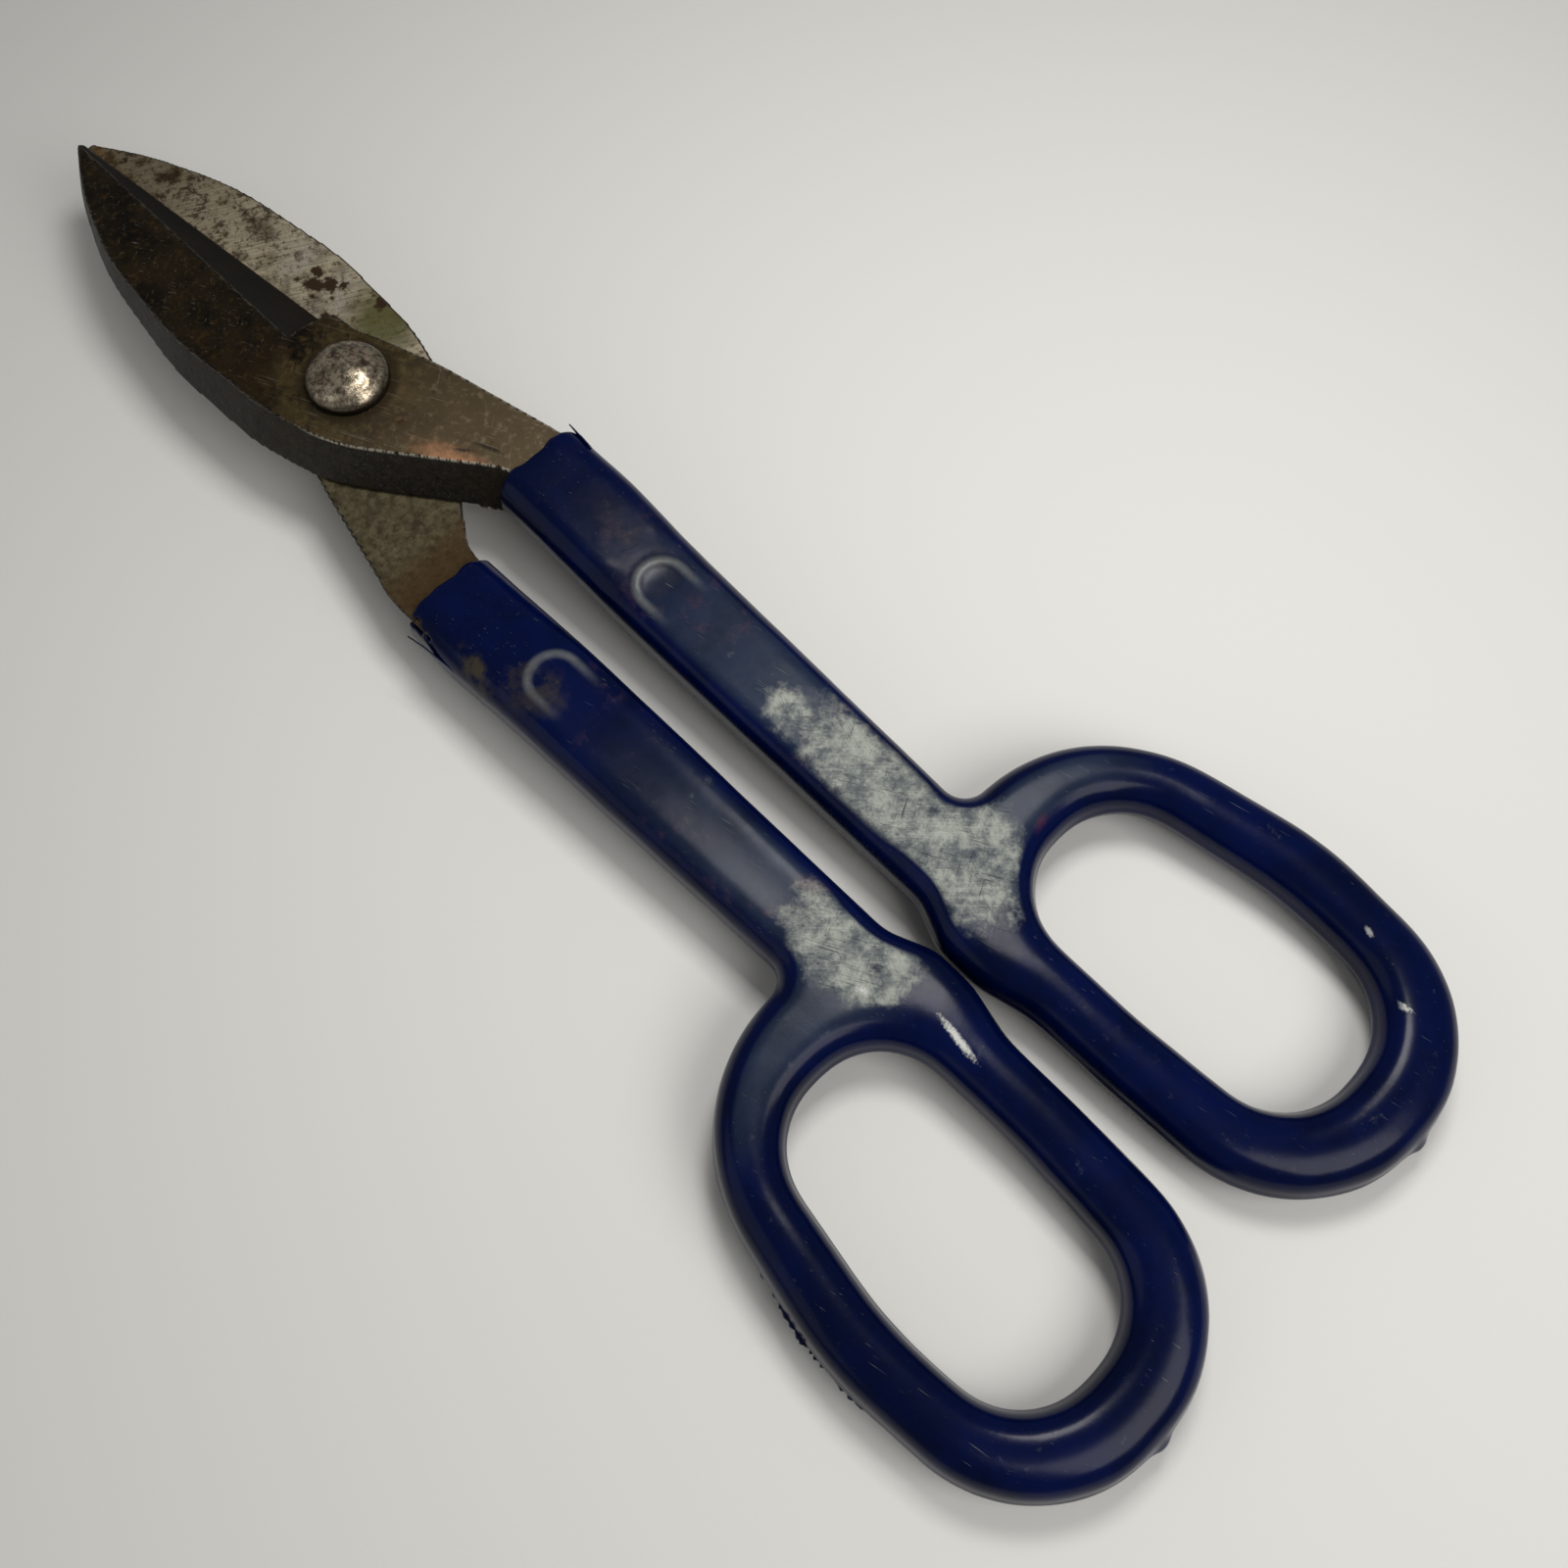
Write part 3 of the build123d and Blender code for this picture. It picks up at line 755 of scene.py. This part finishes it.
def zinc_finish(name, hardware, seed):
    """Dulled zinc with white bloom and rust in the corners."""
    made = Finish(name)
    cloud = made.noise(3.0, 5.0, 0.65, seed)
    fine = made.noise(0.6, 4.0, 0.65, seed)
    bloom = made.noise(1.8, 4.0, 0.7, seed + 1).rise(0.58, 0.70)
    rusty = made.noise(2.4, 5.0, 0.65, seed + 2).rise(0.58, 0.68)
    base = made.layers(
        shade(96, 94, 90),
        (cloud.rise(0.35, 0.65), hardware.zinc),
        (bloom * 0.6, shade(186, 184, 176)),
        (rusty * 0.8, hardware.rust),
        (made.sharpness().rise(0.01, 0.03) * 0.6, shade(196, 192, 182)))
    rough = 0.42 + (fine - 0.5) * 0.2 + rusty * 0.3 + bloom * 0.15
    made.surface(base, rough.most(0.2), (0.85 - rusty * 0.6 - bloom * 0.4).most(0.0))
    made.bump(cloud * 0.4 + fine * 0.4 - rusty * 0.4, 0.05)
    return made.material


def nylon_finish(hardware):
    """Aged nylon, faintly cloudy and picked up with dirt."""
    made = Finish("lock_nylon")
    cloud = made.noise(2.0, 4.0, 0.6, 71.0)
    fine = made.noise(0.4, 3.0, 0.6, 72.0)
    base = made.layers(
        hardware.nylon,
        (cloud.rise(0.35, 0.7), shade(178, 168, 138)),
        (fine.rise(0.56, 0.7) * 0.5, shade(110, 100, 82)))
    made.surface(base, 0.48 + (fine - 0.5) * 0.2, 0.0)
    made.bump(fine, 0.03)
    return made.material


def paper_finish(stage):
    """Plain pale paper with a faint tooth."""
    made = Finish("paper")
    made.surface(stage.paper, 0.9, 0.0, 0.15)
    made.bump(made.noise(0.9, 3.0, 0.6, 81.0), 0.05, 0.5)
    return made.material


# ---- turned pieces

def bridge(solid, rings):
    """Faces between each ring of vertices and the next."""
    for low, high in zip(rings, rings[1:]):
        for i in range(len(low)):
            j = (i + 1) % len(low)
            solid.faces.new((low[i], low[j], high[j], high[i]))


def ring_stack(name, rings, segments, closed):
    """Mesh through rings (height, radius) in millimetres; a radius may be a function of the
    angle.  A closed stack joins its last ring to its first; an open one ends in two centres."""
    solid = bmesh.new()
    angles = [2 * math.pi * i / segments for i in range(segments)]
    loops = []
    for height, radius in rings:
        loop = []
        for angle in angles:
            reach = radius(angle) if callable(radius) else radius
            place = (reach * math.cos(angle) * MM, reach * math.sin(angle) * MM, height * MM)
            loop.append(solid.verts.new(place))
        loops.append(loop)
    if closed:
        bridge(solid, [*loops, loops[0]])
    else:
        bridge(solid, loops)
        for loop, height in ((loops[0], rings[0][0]), (loops[-1], rings[-1][0])):
            centre = solid.verts.new((0, 0, height * MM))
            for i in range(segments):
                solid.faces.new((loop[i], loop[(i + 1) % segments], centre))
    bmesh.ops.recalc_face_normals(solid, faces=solid.faces)
    return add_piece(name, solid)


def square(half, corner):
    """Radius of a square with rounded corners, as a function of the angle."""
    def radius(angle):
        reach = half / max(abs(math.cos(angle)), abs(math.sin(angle)))
        return min(reach, half * math.sqrt(2) - corner)
    return radius


def hexagon(flat, limit):
    """Radius of a hexagon with its corners turned down to a limit."""
    def radius(angle):
        turn = (angle + math.pi / 6) % (math.pi / 3) - math.pi / 6
        return min(flat / math.cos(turn), limit)
    return radius


def threaded(height, outside, depth, pitch, fade):
    """Radius of a thread at a height; fade from 0 to 1 brings the thread in."""
    def radius(angle):
        phase = (height / pitch - angle / (2 * math.pi)) % 1
        tooth = abs(2 * phase - 1)
        crest = min(1.0, max(0.0, tooth * 1.6 - 0.3))
        return outside - depth * fade * (1 - crest)
    return radius


def fan(start, end, steps):
    """Evenly spaced numbers from start to end, both included."""
    return [start + (end - start) * i / steps for i in range(steps + 1)]


# ---- operators

def dress(piece, body, slot, material, *nodes):
    """Material, body and the CAD nodes that the piece stands for; the slot is not used."""
    piece.data.materials.clear()
    piece.data.materials.append(material)
    shade_smooth(piece.data)
    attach(piece, body)
    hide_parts(*nodes)


def forge(node, name, steel, side, grip):
    """Forged half with worn edges and an uneven skin, plain inside its grip."""
    grip_start = node_box(grip)[1][0]
    piece = add_piece(name, welded(node))
    mesh = remesh(piece, steel.cell)
    for _ in range(SNAP_ROUNDS):
        places = vertex_places(mesh)
        reach, nearest = crease_distance(node, places)
        on_edge = reach < SNAP * steel.cell / MM
        places[on_edge] = nearest[on_edge]
        place_vertices(mesh, places)
        relax(mesh, int(steel.edge_round), on_edge.astype(float))
    # the end given lies beyond the steel, so that nothing of its loop is spared
    round_loops(mesh, CORE_PASSES, node_box(node)[0][0] - 9)
    places = vertex_places(mesh)
    normals = vertex_normals(mesh)
    sharp = smoothstep(crease_distance(node, places)[0], 0.95, 0.0)
    sharp *= edge_sharpness(mesh, 1) > 0.002
    hidden = smoothstep(places[:, 0], grip_start - 3, grip_start - 5)

    # only inwards, so that the shear faces keep their gap and the steel its grip
    rough = 0.5 + 0.5 * np.clip(fractal(places, 7.0, 5), -1, 1)
    flatness = smoothstep(-normals[:, 2] * side, 0.9, 0.98)
    skin = rough * (1 - 0.85 * flatness) * steel.scale_depth / MM
    grains = np.clip(noise(places, 1.1, 9), 0, 1) * 0.04 * (1 - np.abs(normals[:, 2]))
    chips = smoothstep(fractal(places, 2.4, 15, 2), 0.5, 1.0) * steel.nick_depth / MM
    inward = (skin * (1 - sharp) + grains * (1 - sharp) + (chips + 0.07) * sharp) * (1 - hidden)
    place_vertices(mesh, places - normals * inward[:, None])
    store(mesh, "sharpness", sharp)
    core = (places[:, 0] < grip_start - HIDDEN_STEEL).astype(float)
    thin_out(piece, core, 1 - core.mean() * 0.94)
    return piece


class SNIPS_OT_forgings(bpy.types.Operator):
    """Build both forged halves"""
    bl_idname = "snips.forgings"
    bl_label = "Forged Halves"

    def execute(self, context):
        steel = context.scene.snips_steel
        upper = forge("upper_forging", "forging_upper", steel, 1, "upper_grip")
        lower = forge("lower_forging", "forging_lower", steel, -1, "lower_grip")
        dress(upper, "upper_half", "forged_steel",
              forged_finish("forged_steel_upper", steel, 1), "upper_forging")
        dress(lower, "lower_half", "forged_steel",
              forged_finish("forged_steel_lower", steel, -1), "lower_forging")
        return {"FINISHED"}


def dip(node, name, grip, side):
    """Vinyl coat: soft panel edges, waviness, a parting ridge and a torn lip."""
    piece = add_piece(name, welded(node))
    mesh = remesh(piece, grip.cell)
    relax(mesh, 4)
    low, high = node_box(node)
    inside = inner_skin(vertex_places(mesh), vertex_normals(mesh), high[0])
    round_loops(mesh, int(grip.soft_passes), low[0])
    soften(mesh, int(grip.soft_passes), low)
    places = vertex_places(mesh)
    normals = vertex_normals(mesh)
    x, y, z = places.T
    from_lip = high[0] - x

    wave = fractal(places, 16.0, 23, 2) * grip.wave_depth / MM
    wave += noise(places, 3.5, 27) * 0.02
    ridge = np.exp(-((z - SHEAR_Z) * MM / grip.ridge_width) ** 2) * (1 - np.abs(normals[:, 2]))
    ridge *= smoothstep(x, *RIDGE_START) * (0.75 + 0.25 * noise(places, 9.0, 33))
    ridge *= grip.ridge_height / MM
    beyond = np.maximum(np.abs(x - PANEL_CENTRE) - PANEL_REACH, 0)
    rim = np.hypot(beyond, np.abs(y) - PANEL_MIDDLE) - PANEL_RADIUS
    bead = np.exp(-((rim - RIM_OUT) / BEAD_WIDTH) ** 2) * smoothstep(x, *BEAD_END)
    bead *= smoothstep(np.abs(z - SHEAR_Z), 4.6, 5.4) * grip.bead_height / MM
    out = (wave * smoothstep(from_lip, 2, 10) + ridge + bead) * (1 - inside)
    near_lug = np.exp(-((x - LUG) / 7) ** 2) * smoothstep(np.abs(y), 6, 3)
    out *= 1 - near_lug
    edge = smoothstep(from_lip, 1.4, 0.0)
    out -= edge * (0.25 + 0.25 * noise(places, 2.2, 61)) * (1 - inside)
    places = places + normals * out[:, None]
    places[:, 0] -= edge * (0.25 + 0.35 * np.clip(noise(places * (0, 1, 1), 3.0, 67), -1, 1))
    place_vertices(mesh, places)
    thin_out(piece, inside, 1 - inside.mean() * 0.9)
    add_tears(piece, side)
    return piece


def add_tears(piece, side):
    """Slivers torn loose at the lip, and the ragged flash on the lower loop."""
    solid = bmesh.new()
    solid.from_mesh(piece.data)
    tree = BVHTree.FromBMesh(solid)
    if side > 0:
        peel(solid, tree, side, (-57.5, -44.4), SHEAR_Z - 0.6, 1.1, (2.2, 0.5))
        peel(solid, tree, side, (-49.0, -43.4), SHEAR_Z + 0.7, 0.3, (1.2, 0.4))
        ragged_flash(solid, tree, -196.0, -163.0, SHEAR_Z - 0.4)
    else:
        peel(solid, tree, side, (-43.0, -36.0), SHEAR_Z + 7.4, 0.5, (1.6, 0.45))
        peel(solid, tree, side, (-42.6, -37.4), SHEAR_Z + 5.4, 0.3, (1.2, 0.4))
    solid.to_mesh(piece.data)
    solid.free()


def peel(solid, tree, side, ends, height, lift, size):
    """Sliver that leaves the coat's outer side at the rear end and stands off it at the front."""
    rear, front = ends
    skin = [tree.ray_cast((x * MM, side * OUTSIDE * MM, height * MM), (0, -side, 0))[0].y / MM
            for x in (rear, front - 5.0)]
    points = []
    for part in fan(0, 1, 4):
        off = side * (lift * part**1.6 - 0.3 * (1 - part))
        points.append((rear + (front - rear) * part, skin[0] + (skin[1] - skin[0]) * part + off,
                       height + 0.5 * math.sin(3 * part)))
    sliver(solid, points, *size)


def sliver(solid, points, width, thick):
    """Tapering strip of vinyl along a smooth path through points, in millimetres."""
    path = smooth_path([np.array(point, dtype=float) for point in points], 8)
    rings = []
    count = len(path)
    for i, here in enumerate(path):
        ahead = path[min(i + 1, count - 1)] - path[max(i - 1, 0)]
        ahead /= np.linalg.norm(ahead)
        flat = np.cross(ahead, (0, 0, 1))
        flat /= np.linalg.norm(flat)
        tall = np.cross(flat, ahead)
        part = i / (count - 1)
        half = width / 2 * (1 - 0.8 * part**1.6) * (1 + 0.18 * math.sin(11 * part))
        slim = thick / 2 * (1 - 0.45 * part)
        ring = []
        for step in range(10):
            angle = 2 * math.pi * step / 10
            spot = here + tall * half * math.cos(angle) + flat * slim * math.sin(angle)
            ring.append(solid.verts.new(spot * MM))
        rings.append(ring)
    bridge(solid, rings[::-1])
    solid.faces.new(rings[0])
    solid.faces.new(rings[-1][::-1])


def smooth_path(points, steps):
    """Points of a Catmull-Rom curve through the given ones."""
    ends = [2 * points[0] - points[1], *points, 2 * points[-1] - points[-2]]
    path = []
    for a, b, c, d in zip(ends, ends[1:], ends[2:], ends[3:]):
        for step in range(steps):
            t = step / steps
            path.append(0.5 * (2 * b + (c - a) * t + (2 * a - 5 * b + 4 * c - d) * t**2
                               + (3 * b - a - 3 * c + d) * t**3))
    path.append(points[-1])
    return path


def ragged_flash(solid, tree, rear, front, height):
    """Ragged fin of vinyl along the outer side of the lower loop, from rear to front."""
    steps = 150
    rows = []
    along = np.array(fan(rear, front, steps))
    places = np.column_stack((along, np.zeros(steps + 1), np.zeros(steps + 1)))
    tatter = noise(places, 1.7, 131) * 0.5 + noise(places, 0.5, 137) * 0.45
    taper = smoothstep(along, rear, rear + 5) * smoothstep(along, front, front - 5)
    for x, rag, fade in zip(along, tatter, taper):
        start = (x * MM, OUTSIDE * MM, (height + 0.5 * math.sin(x * 0.31)) * MM)
        hit = tree.ray_cast(start, (0, -1, 0))[0]
        depth = max(0.04, 0.26 + 0.62 * rag) * fade + 0.02
        droop = 0.35 * depth
        rows.append([
            solid.verts.new((x * MM, hit.y + out * MM, hit.z + up * MM))
            for out, up in ((-0.5, 0.16), (depth * 0.6, 0.10 - droop * 0.4), (depth, -droop),
                            (depth * 0.6, -0.10 - droop * 0.4), (-0.5, -0.16))])
    bridge(solid, rows)
    solid.faces.new(rows[0][::-1])
    solid.faces.new(rows[-1])


def round_loops(mesh, passes, end):
    """Rounds the loops' section, apart from the tip near end.  Steel and coat both go through
    it, so they stay nested."""
    places = vertex_places(mesh)
    x = places[:, 0]
    free = smoothstep(x, *LOOP_START) * smoothstep(x, end + 1.5, end + 5) * ROUNDING
    for _ in range(passes):
        places += (neighbour_mean(mesh, places) - places) * free[:, None]
    place_vertices(mesh, places)


def soften(mesh, passes, low):
    """Blurs the pressed panel and the drip into the coat, as dipping does."""
    places = vertex_places(mesh)
    x, y, z = places.T
    face = smoothstep(np.abs(z - SHEAR_Z), 4.9, 5.3) * smoothstep(x, -140, -134)
    face *= smoothstep(x, -62, -66) * smoothstep(np.abs(y), 20.6, 19.0)
    drip = smoothstep(x, low[0] + 3.4, low[0] + 1.4)
    free = np.maximum(face, drip * 0.25)
    for _ in range(passes):
        places += (neighbour_mean(mesh, places) - places) * 0.6 * free[:, None]
    place_vertices(mesh, places)


def inner_skin(places, normals, lip):
    """1 on the skin inside the coat, which lies on the steel, and 0 on the outside."""
    solid = welded("upper_forging", "lower_forging")
    tree = BVHTree.FromBMesh(solid)
    solid.free()
    inside = np.zeros(len(places))
    for index, place in enumerate(places):
        hit = tree.find_nearest(place * MM, NESTED * MM)
        inside[index] = hit[0] is not None and hit[1].dot(normals[index]) < 0
    return inside * (places[:, 0] < lip - 0.8)


class SNIPS_OT_grips(bpy.types.Operator):
    """Build both dipped grips"""
    bl_idname = "snips.grips"
    bl_label = "Dipped Grips"

    def execute(self, context):
        grip = context.scene.snips_grip
        upper = dip("upper_grip", "grip_upper", grip, -1)
        lower = dip("lower_grip", "grip_lower", grip, 1)
        dress(upper, "upper_half", "dip_vinyl",
              vinyl_finish("vinyl_upper", grip, -1), "upper_grip")
        dress(lower, "lower_half", "dip_vinyl",
              vinyl_finish("vinyl_lower", grip, 1), "lower_grip")
        return {"FINISHED"}


class SNIPS_OT_bolt(bpy.types.Operator):
    """Build the pivot bolt with its domed head, square neck and thread"""
    bl_idname = "snips.bolt"
    bl_label = "Pivot Bolt"

    def execute(self, context):
        hardware = context.scene.snips_hardware
        pitch = hardware.thread_pitch / MM
        depth = hardware.thread_depth / MM
        head = BOLT_HIGH[0]
        under = OUTER_TOP
        rim = under + 1.8
        dome = BOLT_HIGH[2] - rim
        ball = (head**2 + dome**2) / (2 * dome)
        thread_top = NUT_HIGH[2] + 1.0
        rings = [(0.0, 1.0), (0.0, 2.6), (0.0, SHANK - 0.75), (0.12, SHANK - 0.5)]
        for height in fan(0.5, thread_top, int(thread_top * 10)):
            fade = min(1.0, (height + 0.2) / 0.9, (thread_top - height) / 1.2)
            rings.append((height, threaded(height, SHANK, depth, pitch, max(0.0, fade))))
        neck = square(SHANK, 0.7)
        rings += [(thread_top + 0.6, SHANK), (under - 5.3, SHANK)]
        rings += [(under - 5.0, neck), (under - 0.02, neck)]
        rings += [(under, head - 0.25), (under + 0.10, head - 0.06), (under + 0.35, head)]
        rings += [(under + 1.1, head), (rim - 0.25, head - 0.03), (rim, head - 0.14)]
        for angle in fan(math.asin((head - 0.35) / ball), 0.02, 26):
            rings.append((rim + dome - ball + ball * math.cos(angle), ball * math.sin(angle)))
        bolt = ring_stack("bolt", rings, 120, False)
        places = vertex_places(bolt.data)
        normals = vertex_normals(bolt.data)
        top = smoothstep(places[:, 2], under + 0.2, rim)
        dents = np.clip(fractal(places, 3.2, 91), -1, 1) * 0.07 + noise(places, 0.9, 95) * 0.018
        place_vertices(bolt.data, places + normals * (dents * top - 0.07 * top)[:, None])
        dress(bolt, "upper_half", "bolt_steel", head_finish(hardware), "pivot_bolt")
        return {"FINISHED"}


class SNIPS_OT_washer(bpy.types.Operator):
    """Build the stamped thrust washer"""
    bl_idname = "snips.washer"
    bl_label = "Thrust Washer"

    def execute(self, context):
        hardware = context.scene.snips_hardware
        outside = WASHER_HIGH[0]
        bore = 4.9
        low, high = WASHER_LOW[2], WASHER_HIGH[2]
        soft = 0.35
        rings = [(low, bore + 0.15), (low, outside - soft)]
        for turn in fan(0, math.pi / 2, 4)[1:]:
            rings.append((low + soft * (1 - math.cos(turn)),
                          outside - soft * (1 - math.sin(turn))))
        rings += [(high - 0.12, outside), (high - 0.03, outside - 0.04), (high, outside - 0.12)]
        rings += [(high, bore + 0.2), (high - 0.2, bore), (low + 0.15, bore)]
        washer = ring_stack("washer", rings, 96, True)
        places = vertex_places(washer.data)
        store(washer.data, "sharpness", edge_sharpness(washer.data, 0))
        lift = noise(places, 4.0, 101) * 0.02
        places[:, 2] -= np.abs(lift) * (places[:, 2] < (low + high) / 2)
        place_vertices(washer.data, places)
        dress(washer, "upper_half", "nut_steel", zinc_finish("zinc_washer", hardware, 51.0),
              "thrust_washer")
        return {"FINISHED"}


class SNIPS_OT_nut(bpy.types.Operator):
    """Build the hexagon lock nut with its collar and threaded bore"""
    bl_idname = "snips.nut"
    bl_label = "Lock Nut"

    def execute(self, context):
        hardware = context.scene.snips_hardware
        pitch = hardware.thread_pitch / MM
        flat = NUT_HIGH[1]
        corner = NUT_HIGH[0]
        low, high = NUT_LOW[2], NUT_HIGH[2]
        ring_top = RING_HIGH[2]
        ring_out = RING_HIGH[0]
        collar_out = ring_out + 0.7
        hex_low = high - 4.8
        rings = [(low, ring_out + 0.05), (low + 0.02, collar_out - 0.25), (low + 0.25, collar_out)]
        rings += [(hex_low - 0.25, collar_out), (hex_low, collar_out + 0.3)]
        for start, way, parts in ((hex_low, 0.75, fan(0, 1, 5)), (high, -0.75, fan(1, 0, 5))):
            for part in parts:
                limit = corner - 1.25 + 1.1 * math.sin(part * math.pi / 2)
                rings.append((start + way * part, hexagon(flat, limit)))
        rings.append((high, BORE + 0.6))
        for height in fan(high - 0.5, ring_top + 0.2, 44):
            fade = min(1.0, (high - height) / 1.2)
            rings.append((height, threaded(height, BORE + 0.62, 0.6, pitch, fade)))
        rings += [(ring_top + 0.02, BORE + 0.1), (ring_top, ring_out + 0.02)]
        nut = ring_stack("nut", rings, 144, True)
        store(nut.data, "sharpness", edge_sharpness(nut.data, 0))
        dress(nut, "upper_half", "nut_steel", zinc_finish("zinc_nut", hardware, 61.0), "pivot_nut")
        return {"FINISHED"}


class SNIPS_OT_lock_ring(bpy.types.Operator):
    """Build the nylon ring inside the nut's collar"""
    bl_idname = "snips.lock_ring"
    bl_label = "Lock Ring"

    def execute(self, context):
        outside = RING_HIGH[0]
        low, high = RING_LOW[2], RING_HIGH[2]
        rings = [(low + 0.12, BORE), (low, BORE + 0.15), (low, (BORE + outside) / 2)]
        rings += [(low, outside - 0.15), (low + 0.12, outside), (high, outside), (high, BORE)]
        ring = ring_stack("lock_ring", rings, 96, True)
        dress(ring, "upper_half", "nylon", nylon_finish(context.scene.snips_hardware),
              "nut_lock_ring")
        return {"FINISHED"}


class SNIPS_OT_stage(bpy.types.Operator):
    """Set out the floor, the lights and the camera"""
    bl_idname = "snips.stage"
    bl_label = "Stage"

    def execute(self, context):
        settings = context.scene.snips_stage
        scene = context.scene

        # the tool lies on the bolt's tail and the undersides of its loops
        places = vertex_places(frame["nodes"]["lower_grip"].data)
        rear = places[:, 0] < GRIP_REAR + 40
        slope = (places[rear, 2] / places[rear, 0]).max()
        bpy.ops.mesh.primitive_grid_add(x_subdivisions=2, y_subdivisions=2, size=6)
        floor = context.object
        floor.name = "floor"
        for vertex in floor.data.vertices:
            vertex.co.z = slope * vertex.co.x
        floor.data.materials.append(paper_finish(settings))

        world = bpy.data.worlds.new("room")
        scene.world = world
        world.use_nodes = True
        background = world.node_tree.nodes["Background"]
        background.inputs["Color"].default_value = (1.0, 0.99, 0.97, 1)
        background.inputs["Strength"].default_value = settings.sky

        warm, cool = (1, 0.99, 0.97), (0.97, 0.99, 1)
        below_key = (-0.080, -0.098, 0)
        hang_lamp("key", settings.key_power, 0.11, (-0.080, -0.098, 0.33), below_key, warm)
        hang_lamp("side", settings.fill_power * 0.3, 0.5, (0.10, 0.55, 0.30), (-0.05, 0, 0), cool)
        hang_lamp("tail", settings.fill_power, 0.3, (-0.45, -0.03, 0.42), (-0.10, 0, 0), warm)

        camera = bpy.data.cameras.new("camera")
        camera.lens = settings.lens
        camera.sensor_width = 36
        camera.clip_start = 0.01
        camera.clip_end = 20
        holder = bpy.data.objects.new("camera", camera)
        scene.collection.objects.link(holder)
        holder.matrix_world = axes_matrix(
            (-0.7024, -0.7118, -0.0107), (0.6588, -0.6556, 0.3691), (-0.2697, 0.2522, 0.9293),
            (-0.1872, 0.0660, 0.2717))
        scene.camera = holder
        scene.view_settings.view_transform = "Standard"
        return {"FINISHED"}


def hang_lamp(name, power, size, place, target, tone):
    """Square soft lamp at a place, turned to a target; both are in metres."""
    lamp = bpy.data.lights.new(name, "AREA")
    lamp.energy = power
    lamp.size = size
    lamp.color = tone
    holder = bpy.data.objects.new(name, lamp)
    bpy.context.scene.collection.objects.link(holder)
    holder.visible_camera = False
    aim = np.array(target) - np.array(place)
    back = -aim / np.linalg.norm(aim)
    side = np.cross((0, 1, 0.1), back)
    side /= np.linalg.norm(side)
    holder.matrix_world = axes_matrix(side, np.cross(back, side), back, place)


def axes_matrix(right, up, back, place):
    """Matrix of an object with these axes at a place."""
    return Matrix((*zip(right, up, back, place), (0, 0, 0, 1)))


# ---- panel, registration and the run

OPERATORS = (
    SNIPS_OT_forgings, SNIPS_OT_grips, SNIPS_OT_bolt, SNIPS_OT_washer, SNIPS_OT_nut,
    SNIPS_OT_lock_ring, SNIPS_OT_stage)
SETTINGS = {
    "snips_steel": SteelSettings, "snips_grip": GripSettings,
    "snips_hardware": HardwareSettings, "snips_stage": StageSettings}


class SNIPS_PT_panel(bpy.types.Panel):
    """Lists the settings and the operators"""
    bl_idname = "SNIPS_PT_panel"
    bl_label = "Tin Snips"
    bl_space_type = "VIEW_3D"
    bl_region_type = "UI"
    bl_category = "Tin Snips"

    def draw(self, context):
        for name, group in SETTINGS.items():
            box = self.layout.box()
            box.label(text=group.__doc__)
            for key in group.__annotations__:
                box.prop(getattr(context.scene, name), key)
        for operator in OPERATORS:
            self.layout.operator(operator.bl_idname)


def register():
    for group in (*SETTINGS.values(), *OPERATORS, SNIPS_PT_panel):
        bpy.utils.register_class(group)
    for name, group in SETTINGS.items():
        setattr(bpy.types.Scene, name, bpy.props.PointerProperty(type=group))


def unregister():
    for name in SETTINGS:
        delattr(bpy.types.Scene, name)
    for group in (SNIPS_PT_panel, *reversed(OPERATORS), *reversed(tuple(SETTINGS.values()))):
        bpy.utils.unregister_class(group)


def main():
    register()
    for operator in OPERATORS:
        group, name = operator.bl_idname.split(".")
        getattr(getattr(bpy.ops, group), name)()


if __name__ == "__main__":
    main()
